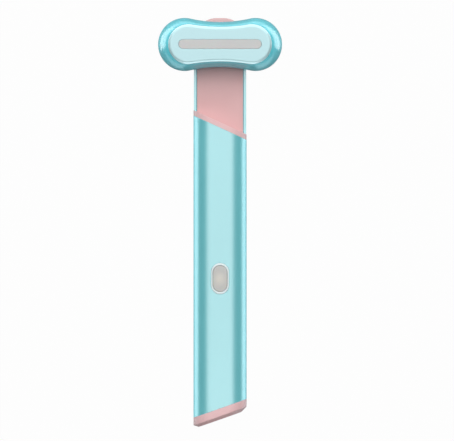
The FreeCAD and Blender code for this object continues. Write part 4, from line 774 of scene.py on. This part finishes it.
# %% Shoulder band
FIT_GAP, PLUG_WALL = 0.1, 1.0
PLUG_INSET = TUBE_WALL + FIT_GAP
BAND_THICK, PLUG_DEPTH, PLUG_ROOT = 2.0, 3.0, 0.3
LIP_LOW, LIP_DRAFT = 5.65, 0.07


def upper_part(inset):
    """The part of the tube's section above the rails, as (x, z)."""
    section = tube_section(inset)
    return section[RAIL_INDEX:len(section) - RAIL_INDEX]


lip = upper_part(PLUG_INSET)[0][0]
lip_outline = [(-lip, RAIL_TOP), (-lip + LIP_DRAFT, LIP_LOW), (lip - LIP_DRAFT, LIP_LOW),
               (lip, RAIL_TOP)]
band = mesh_from_rings("shoulder_band", [
    slanted(upper_part(0.0) + lip_outline, shoulder_plane, offset)
    for offset in (0.0, along(BAND_THICK, SHOULDER_ANGLE))
])
soften(band, SOFT_EDGE)
place(band, "rose_cap", "handle", ["shoulder_cap"])

plug_end = -along(PLUG_DEPTH, SHOULDER_ANGLE)
plug_outside, plug_inside = upper_part(PLUG_INSET), upper_part(PLUG_INSET + PLUG_WALL)
plug = mesh_from_rings("shoulder_plug", [
    slanted(outline, shoulder_plane, offset)
    for outline, offset in ((plug_outside, plug_end), (plug_outside, PLUG_ROOT),
                            (plug_inside, PLUG_ROOT), (plug_inside, plug_end))
], hollow=True)
smooth(plug)
place(plug, "rose_cap", "handle", [])

# %% [markdown]
# ## Nose
# The neck ends in a small rounded block over the tube's upper end. From above it is a D with large
# corners, and below it follows the tube's round side. Rings of that D, stacked from floor to top
# and taken in near the edges, give both curves and the soft edge in one go. The tube's inner
# outline is then cut out, as a seat for the tray.

# %% Nose
NOSE_Y, NOSE_CORNER, NOSE_EDGE, NOSE_STEPS = 82.5, 9.3, 0.7, 40
SEAT_FROM, SEAT_TO = 60.0, 78.9


def nose_ring(inset, z):
    """The nose's D outline at a height, taken in by inset."""
    half = TUBE_FLAT + math.sqrt(max(0.0, TUBE_MIDDLE ** 2 - (TUBE_MIDDLE - z) ** 2)) - inset
    corner = NOSE_CORNER - inset
    flat = TUBE_WIDTH / 2 - NOSE_CORNER
    ring = []
    for step in range(NOSE_STEPS + 1):
        x = half * sine(-90 + 180 * step / NOSE_STEPS)
        over = min(corner, max(0.0, abs(x) - flat))
        ring.append((x, NOSE_Y - inset - corner + math.sqrt(corner ** 2 - over ** 2), z))
    return [(-half, NECK_END_Y, z)] + ring + [(half, NECK_END_Y, z)]


# (inset, height): the soft edge on the floor, then up the tube's round side
NOSE_FOOT = [(0.5, 0.02), (0.22, 0.15), (0.06, 0.4), (0.0, 0.8),
             (0.0, 1.6), (0.0, 2.6), (0.0, 3.8), (0.0, 5.1)]
nose_rings = [nose_ring(inset, z) for inset, z in NOSE_FOOT]
nose_rings += rounded(nose_ring, 0.0, RAIL_TOP, NOSE_EDGE)
nose = mesh_from_rings("nose_block", nose_rings)
carve(nose, mesh_from_rings("seat", [
    [(x, y, z) for x, z in tube_section(TUBE_WALL)] for y in (SEAT_FROM, SEAT_TO)
]))
smooth(nose, CAP_SMOOTH_ANGLE)
place(nose, "rose_casing", "handle", ["nose_cap"])

# %% [markdown]
# ## End cap
# The charging end is closed by a pink cap, cut on the slant like the tube and bevelled all round.
# It is a cup: a face with a mouth for the socket, a band flush with the tube, and a thinner plug
# that goes inside. One stack of rings runs from the face, round the bevel, up the plug and back
# down to the floor of the cup.

# %% End cap
END_DEPTH = END_SEAM_Y - END_FACE_Y
BEVEL_SIDE, BEVEL_FACE = 1.4, 2.0
CAP_PLUG, CAP_FLOOR = along(4.0, END_ANGLE), along(2.4, END_ANGLE)
CUP_INSET = PLUG_INSET + PLUG_WALL

# (inset, way from the face): face, bevel and band, with close rings at each edge
CAP_OUTSIDE = [
    (BEVEL_FACE + 0.35, 0.0), (BEVEL_FACE + 0.12, 0.0), (BEVEL_FACE - 0.02, 0.04),
    (BEVEL_FACE - 0.14, 0.12), (0.16, BEVEL_SIDE - 0.13), (0.04, BEVEL_SIDE + 0.02),
    (0.0, BEVEL_SIDE + 0.22),
]
# (inset, way from the seam): the band's soft edge, the plug, and the cup down to its floor
CAP_INSIDE = [
    (0.0, -0.2), (0.03, -0.07), (0.15, -0.01), (0.3, 0.0), (PLUG_INSET, 0.0),
    (PLUG_INSET, CAP_PLUG), (CUP_INSET, CAP_PLUG), (CUP_INSET, CAP_FLOOR - END_DEPTH),
]
cap_steps = [(inset, way - END_DEPTH) for inset, way in CAP_OUTSIDE] + CAP_INSIDE
cap = mesh_from_rings("end_band", [
    slanted(tube_section(inset), end_plane, way) for inset, way in cap_steps
])
print("end cap rings:", len(cap_steps), " points:", len(cap.data.vertices))

# %% Mouth of the socket
SOCKET_Z, SOCKET_STRAIGHT, SOCKET_RADIUS = 7.47, 2.84, 1.63
MOUTH_GAP, MOUTH_STEPS, MOUTH_FROM, MOUTH_TO = 0.15, 24, -2.0, 6.0
socket_turn = (Matrix.Translation((0, END_FACE_Y, SOCKET_Z))
               @ Matrix.Rotation(math.radians(END_ANGLE), 4, "Z"))


def mouth_ring(depth):
    """The mouth's stadium, drawn in plan and turned to stand square to the slanted face."""
    ring = stadium(SOCKET_STRAIGHT, SOCKET_RADIUS + MOUTH_GAP, depth, steps=MOUTH_STEPS,
                   upright=False)
    return [tuple(socket_turn @ Vector((x, z, y))) for x, y, z in ring]


carve(cap, mesh_from_rings("mouth", [mouth_ring(depth) for depth in (MOUTH_FROM, MOUTH_TO)]))
smooth(cap, CAP_SMOOTH_ANGLE)
place(cap, "rose_cap", "handle", ["end_cap"])

# %% [markdown]
# ## Contacts of the charging socket
# Inside the steel shell a thin tongue carries twelve gold strips on each face, half a millimetre
# apart. They are what makes the opening look like a real socket, so each strip is its own small
# bar with a narrowed tip, placed in a loop.

# %% Socket contacts
STRIPS, STRIP_PITCH, STRIP_HALF, TIP_SHARE = 12, 0.5, 0.13, 0.6
STRIP_TIP, STRIP_START, STRIP_END = 1.5, 1.6, 6.2
TONGUE_HALF, STRIP_PROUD = 0.35, 0.03

shape = bmesh.new()
for side in (-1, 1):
    for k in range(STRIPS):
        x, tip = (k - (STRIPS - 1) / 2) * STRIP_PITCH, TIP_SHARE * STRIP_HALF
        corners = [(x - STRIP_HALF, STRIP_START), (x - tip, STRIP_TIP), (x + tip, STRIP_TIP),
                   (x + STRIP_HALF, STRIP_START), (x + STRIP_HALF, STRIP_END),
                   (x - STRIP_HALF, STRIP_END)]
        low, high = [
            [shape.verts.new(socket_turn @ Vector((u, v, side * height)) * MM) for u, v in corners]
            for height in (TONGUE_HALF, TONGUE_HALF + STRIP_PROUD)
        ]
        shape.faces.new(low)
        shape.faces.new(high)
        bridge(shape, low, high)
contacts = weld("socket_contacts", shape)
place(contacts, "contact_gold", "handle", [])

# %% [markdown]
# ## The head's outline
# Seen from the front the head is a peanut: two round lobes joined by a shallow waist. Four arcs
# that meet tangentially draw it. Taking the outline in by a distance only changes the radii, so
# rings at any depth keep the same number of points in the same places.

# %% Peanut outline
HEAD_Y = 71.8
HEAD_SIZE, FACE_SIZE = (50.0, 21.4, 18.2), (41.7, 16.1, 14.0)
WINDOW_LONG, WINDOW_WIDE = 33.4, 3.8
LOBE_STEPS, WAIST_STEPS = 56, 20


def peanut(width, depth, waist, z):
    """Two lobes and two hollow arcs, counter-clockwise from the lower right."""
    lobe, half_waist = depth / 2, waist / 2
    reach = width / 2 - lobe
    hollow = (reach ** 2 + half_waist ** 2 - lobe ** 2) / (2 * (lobe - half_waist))
    tilt = math.atan2(hollow + half_waist, reach)
    ring = []
    for step in range(LOBE_STEPS):
        a = (tilt - math.pi) + 2 * (math.pi - tilt) * step / LOBE_STEPS
        ring.append((reach + lobe * math.cos(a), lobe * math.sin(a)))
    for step in range(WAIST_STEPS):
        a = -tilt - (math.pi - 2 * tilt) * step / WAIST_STEPS
        ring.append((hollow * math.cos(a), hollow + half_waist + hollow * math.sin(a)))
    ring += [(-x, -y) for x, y in ring]
    return [(x, y + HEAD_Y, z) for x, y in ring]


def head_ring(inset, z):
    return peanut(*[size - 2 * inset for size in HEAD_SIZE], z)


def face_ring(inset, z):
    return peanut(*[size - 2 * inset for size in FACE_SIZE], z)


def slot_ring(out, z):
    """The light window's stadium, with as many points as the peanut, so that the two can join."""
    return stadium((WINDOW_LONG - WINDOW_WIDE) / 2, WINDOW_WIDE / 2 + out, z, HEAD_Y,
                   LOBE_STEPS, WAIST_STEPS, upright=False)


print("outline points:", len(head_ring(0.0, 0.0)), "slot:", len(slot_ring(0.0, 0.0)))

# %% [markdown]
# ## Front housing of the head
# The front shell swells from its seam and leans in, almost like a cone, up to a narrow crown that
# frames the face. A superellipse draws that: with an exponent of 2 it would be a plain ellipse, and
# 1.35 flattens its belly. The rings go on down the groove, over the seat of the face, through the
# window's slot and back inside the wall.

# %% Front housing
SEAM_Z, CROWN_Z, BELLY = 9.3, 15.9, 1.35
SEAM_EDGE = [(0.16, 0.0), (0.05, 0.04), (0.01, 0.16)]
CROWN_GAP, CROWN_TURNS = 0.15, range(6, 88, 3)
LEDGE_TOP, LEDGE_LOW, HAUNCH_LOW, REBATE_TOP = 15.5, 14.5, 12.9, 10.1
FACE_GAP, WINDOW_GAP = 0.08, 0.1
CROWN_EDGE = [(0.12, 0.02), (FACE_GAP, 0.08)]
HAUNCH_WALL, SHELL_WALL, REBATE_WALL = 3.2, 2.2, 0.65


def crown_ring(turn):
    """The shell's outline at an angle of the superellipse, 0 at the seam and 90 at the crown."""
    power = 2 / BELLY
    share = 1 - cosine(turn) ** power
    size = [head - share * (head - face - 2 * CROWN_GAP)
            for head, face in zip(HEAD_SIZE, FACE_SIZE)]
    return peanut(*size, SEAM_Z + (CROWN_Z - SEAM_Z) * sine(turn) ** power)


# the seam's soft edge, the belly, and the crown's rim
shell_rings = [head_ring(inset, SEAM_Z + rise) for inset, rise in SEAM_EDGE]
shell_rings += [crown_ring(turn) for turn in CROWN_TURNS]
shell_rings += [face_ring(-inset, CROWN_Z - fall) for inset, fall in CROWN_EDGE]
# down the groove, over the ledge that carries the face, and back inside the wall
shell_rings += [
    face_ring(-FACE_GAP, LEDGE_TOP), slot_ring(WINDOW_GAP, LEDGE_TOP),
    slot_ring(WINDOW_GAP, LEDGE_LOW), head_ring(HAUNCH_WALL, LEDGE_LOW),
    head_ring(HAUNCH_WALL, HAUNCH_LOW), head_ring(SHELL_WALL, HAUNCH_LOW),
    head_ring(SHELL_WALL, REBATE_TOP), head_ring(REBATE_WALL, REBATE_TOP),
    head_ring(REBATE_WALL, SEAM_Z),
]
housing = mesh_from_rings("front_housing", shell_rings, hollow=True)
smooth(housing)
place(housing, "coated_head", "head", ["head_shell"])

# %% [markdown]
# ## Back cover of the head
# The back is a shallow cup with a large soft edge, screwed on from behind. Its screws sit in round
# recesses, which are cut out of the finished cup, along with the holes for the spindle and the
# stop pin. An extra ring just inside the round keeps the flat back flat.

# %% Back cover
BACK_Z, BACK_ROUND = 6.5, 2.2
BACK_EDGE = [(0.0, 0.16), (0.04, 0.04), (0.15, 0.0)]
TONGUE_INSET, TONGUE_TOP, BACK_WALL, BACK_FLOOR, BACK_KEEP = 0.75, 10.0, 1.3, 7.7, 0.4

back_rings = [head_ring(BACK_ROUND + BACK_KEEP, BACK_Z)]
back_rings += rounded(head_ring, 0.0, BACK_Z, BACK_ROUND, steps=9, up=False)
back_rings += [head_ring(inset, SEAM_Z - fall) for inset, fall in BACK_EDGE]
back_rings += [head_ring(TONGUE_INSET, SEAM_Z), head_ring(TONGUE_INSET, TONGUE_TOP),
               head_ring(BACK_WALL, TONGUE_TOP), head_ring(BACK_WALL, BACK_FLOOR)]
back = mesh_from_rings("back_cover", back_rings)
print("back cover rings:", len(back_rings), " points:", len(back.data.vertices))

# %% Screw recesses, spindle hole and stop pin hole
HOLE_FROM, RECESS_TOP, HOLE_TO = 5.0, 7.5, 9.0
RECESS, SHANK, SPINDLE, PIN = 1.4, 0.85, 3.05, 0.65
SCREW_PLACES = [(x, y) for x in (-17.8, 17.8) for y in (-5.4, 5.4)]
PIN_PLACE = (0.0, -7.3)


def circle(x, y, radius, z):
    """A round outline in plan."""
    return [(x + u, y + v, z) for u, v in (on_circle(radius, a) for a in range(0, 360, 10))]


def drill(place_in_head, radius, top):
    """A round cutter in plan about the head's middle, from under the cover up to top."""
    x, y = place_in_head
    return mesh_from_rings("drill", [circle(x, HEAD_Y + y, radius, z) for z in (HOLE_FROM, top)])


carve(back, *[drill(screw, RECESS, RECESS_TOP) for screw in SCREW_PLACES],
      *[drill(screw, SHANK, HOLE_TO) for screw in SCREW_PLACES],
      drill((0.0, 0.0), SPINDLE, HOLE_TO), drill(PIN_PLACE, PIN, HOLE_TO))
smooth(back)
place(back, "coated_head", "head", ["head_back"])

# %% [markdown]
# ## Face plate
# The warm plate is pressed from thin sheet. Its edge stands out of the housing in a small step and
# rolls over from fifty degrees to flat, which is the soft line of light round the face. Its slot
# has a crisp but not sharp rim. Extra rings beside each round keep the flat parts flat here too.

# %% Face plate
FACE_LOW, FACE_TOP = LEDGE_TOP, 16.8
ROLL_RADIUS, ROLL_TILT, ROLL_STEP, ROLL_KEEP = 1.5, 50, 5, 0.12
SLOT_GAP, SLOT_ROUND, SLOT_KEEP = 0.05, 0.12, 0.15

face_rings = [face_ring(0.0, FACE_LOW)]
for tilt in range(ROLL_TILT, -1, -ROLL_STEP):
    inset = ROLL_RADIUS * (sine(ROLL_TILT) - sine(tilt))
    fall = ROLL_RADIUS * (1 - cosine(tilt))
    face_rings.append(face_ring(inset, FACE_TOP - fall))
face_rings += [face_ring(inset + ROLL_KEEP, FACE_TOP),
               slot_ring(SLOT_GAP + SLOT_ROUND + SLOT_KEEP, FACE_TOP)]
face_rings += rounded(slot_ring, SLOT_GAP, FACE_TOP, SLOT_ROUND, steps=5)[::-1]
face_rings += [slot_ring(SLOT_GAP, FACE_LOW)]
face = mesh_from_rings("warm_plate", face_rings, hollow=True)
smooth(face)
place(face, "coated_face", "head", ["face_plate"])

# %% [markdown]
# ## Window bar
# The window is a moulded bar that comes up through the slot from inside, until the flange round
# its foot stops under the housing's ledge. Its top stays a hair below the plate, so that nothing
# rubs on the skin, and only the edge up there has a round.

# %% Light window
LENS_TOP, LENS_LOW, LENS_FLANGE, LENS_ROUND = 16.75, 13.7, 1.6, 0.15

lens_rings = [slot_ring(LENS_FLANGE, LENS_LOW), slot_ring(LENS_FLANGE, LEDGE_LOW),
              slot_ring(0.0, LEDGE_LOW)]
lens_rings += rounded(lambda inset, z: slot_ring(-inset, z), 0.0, LENS_TOP, LENS_ROUND, steps=4)
lens_rings += [slot_ring(-2 * LENS_ROUND, LENS_TOP)]
lens = mesh_from_rings("frosted_window", lens_rings)
smooth(lens)
place(lens, "light_window", "head", ["lens_bar"])

# %% [markdown]
# ## Button
# The ring around the button stands a quarter of a millimetre proud of the tube. The button itself
# is slightly crowned, so the light slides over it, and sits inside with an even gap. Under its
# skin a clear rod brings the lamp's light up from the switch.

# %% Button ring
RING_LOW, RING_TOP, RING_ROUND = 13.21, 15.25, 0.2
RING_FLANGE, RING_FLANGE_TOP = 0.7, 13.86
OPEN_LONG, OPEN_WIDE, OPEN_ROUND = 10.8, 6.0, 0.14
RING_FLATS = 6


def bezel_ring(out, z):
    """The ring's outer edge, larger by out."""
    return stadium(RING_STRAIGHT, RING_RADIUS + out, z, BUTTON_Y, flat_steps=RING_FLATS)


def open_ring(out, z):
    """The ring's opening, larger by out."""
    return stadium((OPEN_LONG - OPEN_WIDE) / 2, OPEN_WIDE / 2 + out, z, BUTTON_Y,
                   flat_steps=RING_FLATS)


bezel_rings = [bezel_ring(RING_FLANGE, RING_LOW), bezel_ring(RING_FLANGE, RING_FLANGE_TOP),
               bezel_ring(0.0, RING_FLANGE_TOP)]
bezel_rings += rounded(lambda inset, z: bezel_ring(-inset, z), 0.0, RING_TOP, RING_ROUND, steps=5)
bezel_rings += rounded(open_ring, 0.0, RING_TOP, OPEN_ROUND, steps=5)[::-1]
bezel_rings += [open_ring(0.0, RING_LOW)]
bezel = mesh_from_rings("button_ring", bezel_rings, hollow=True)
smooth(bezel)
place(bezel, "pale_bezel", "handle", ["button_bezel"])

# %% Button and its light guide
KEY_TOP, KEY_LOW, KEY_GAP, KEY_ROUND = 15.2, 12.36, 0.08, 0.35
KEY_FLANGE, KEY_FLANGE_THICK = 0.42, 0.8
KEY_CROWN, CROWN_INSETS = 0.08, (0.7, 1.2, 1.8, 2.4, 2.75)
GUIDE_RADIUS, GUIDE_LOW, GUIDE_TOP, GUIDE_CHAMFER = 1.2, 12.11, 14.75, 0.15
WELL_GAP, WELL_FROM, WELL_TO = 0.05, 10.0, 14.8

flange_top, edge_top = KEY_LOW + KEY_FLANGE_THICK, KEY_TOP - KEY_CROWN
key_rings = [open_ring(KEY_FLANGE, KEY_LOW), open_ring(KEY_FLANGE, flange_top),
             open_ring(-KEY_GAP, flange_top)]
key_rings += rounded(lambda inset, z: open_ring(-KEY_GAP - inset, z), 0.0, edge_top, KEY_ROUND)
for inset in CROWN_INSETS:
    turn = 90 * (inset - KEY_ROUND) / (CROWN_INSETS[-1] - KEY_ROUND)
    rise = KEY_CROWN * sine(turn)
    key_rings.append(open_ring(-KEY_GAP - inset, edge_top + rise))
key = mesh_from_rings("button_key", key_rings)
carve(key, mesh_from_rings("well", [
    circle(0.0, BUTTON_Y, GUIDE_RADIUS + WELL_GAP, z) for z in (WELL_FROM, WELL_TO)
]))
smooth(key)
place(key, "pearl_button", "button", ["button_cap"])

guide = mesh_from_rings("light_guide", [
    circle(0.0, BUTTON_Y, GUIDE_RADIUS - less, z) for less, z in (
        (GUIDE_CHAMFER, GUIDE_LOW), (0.0, GUIDE_LOW + GUIDE_CHAMFER),
        (0.0, GUIDE_TOP - GUIDE_CHAMFER), (GUIDE_CHAMFER, GUIDE_TOP))
])
smooth(guide)
place(guide, "button_light", "button", ["button_window"])

# %% [markdown]
# ## CAD pieces that stay
# Screws, the neck's tray, the socket and everything inside already have their right shapes, so
# they keep them and only take their finishes. The record says which slot each node belongs to.

# %% Dress the CAD pieces
hidden = set()
for thing in pieces:
    hidden |= set(thing.get("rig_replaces", []))
slots = {part["node"]: part["material_slot"] for part in frame["record"]["subparts"]}
dressed = 0
for name, node in frame["nodes"].items():
    node.data.materials.clear()
    node.data.materials.append(finishes[slots[name]])
    dressed += name not in hidden
print("CAD pieces dressed:", dressed, " stood for by new pieces:", len(hidden))
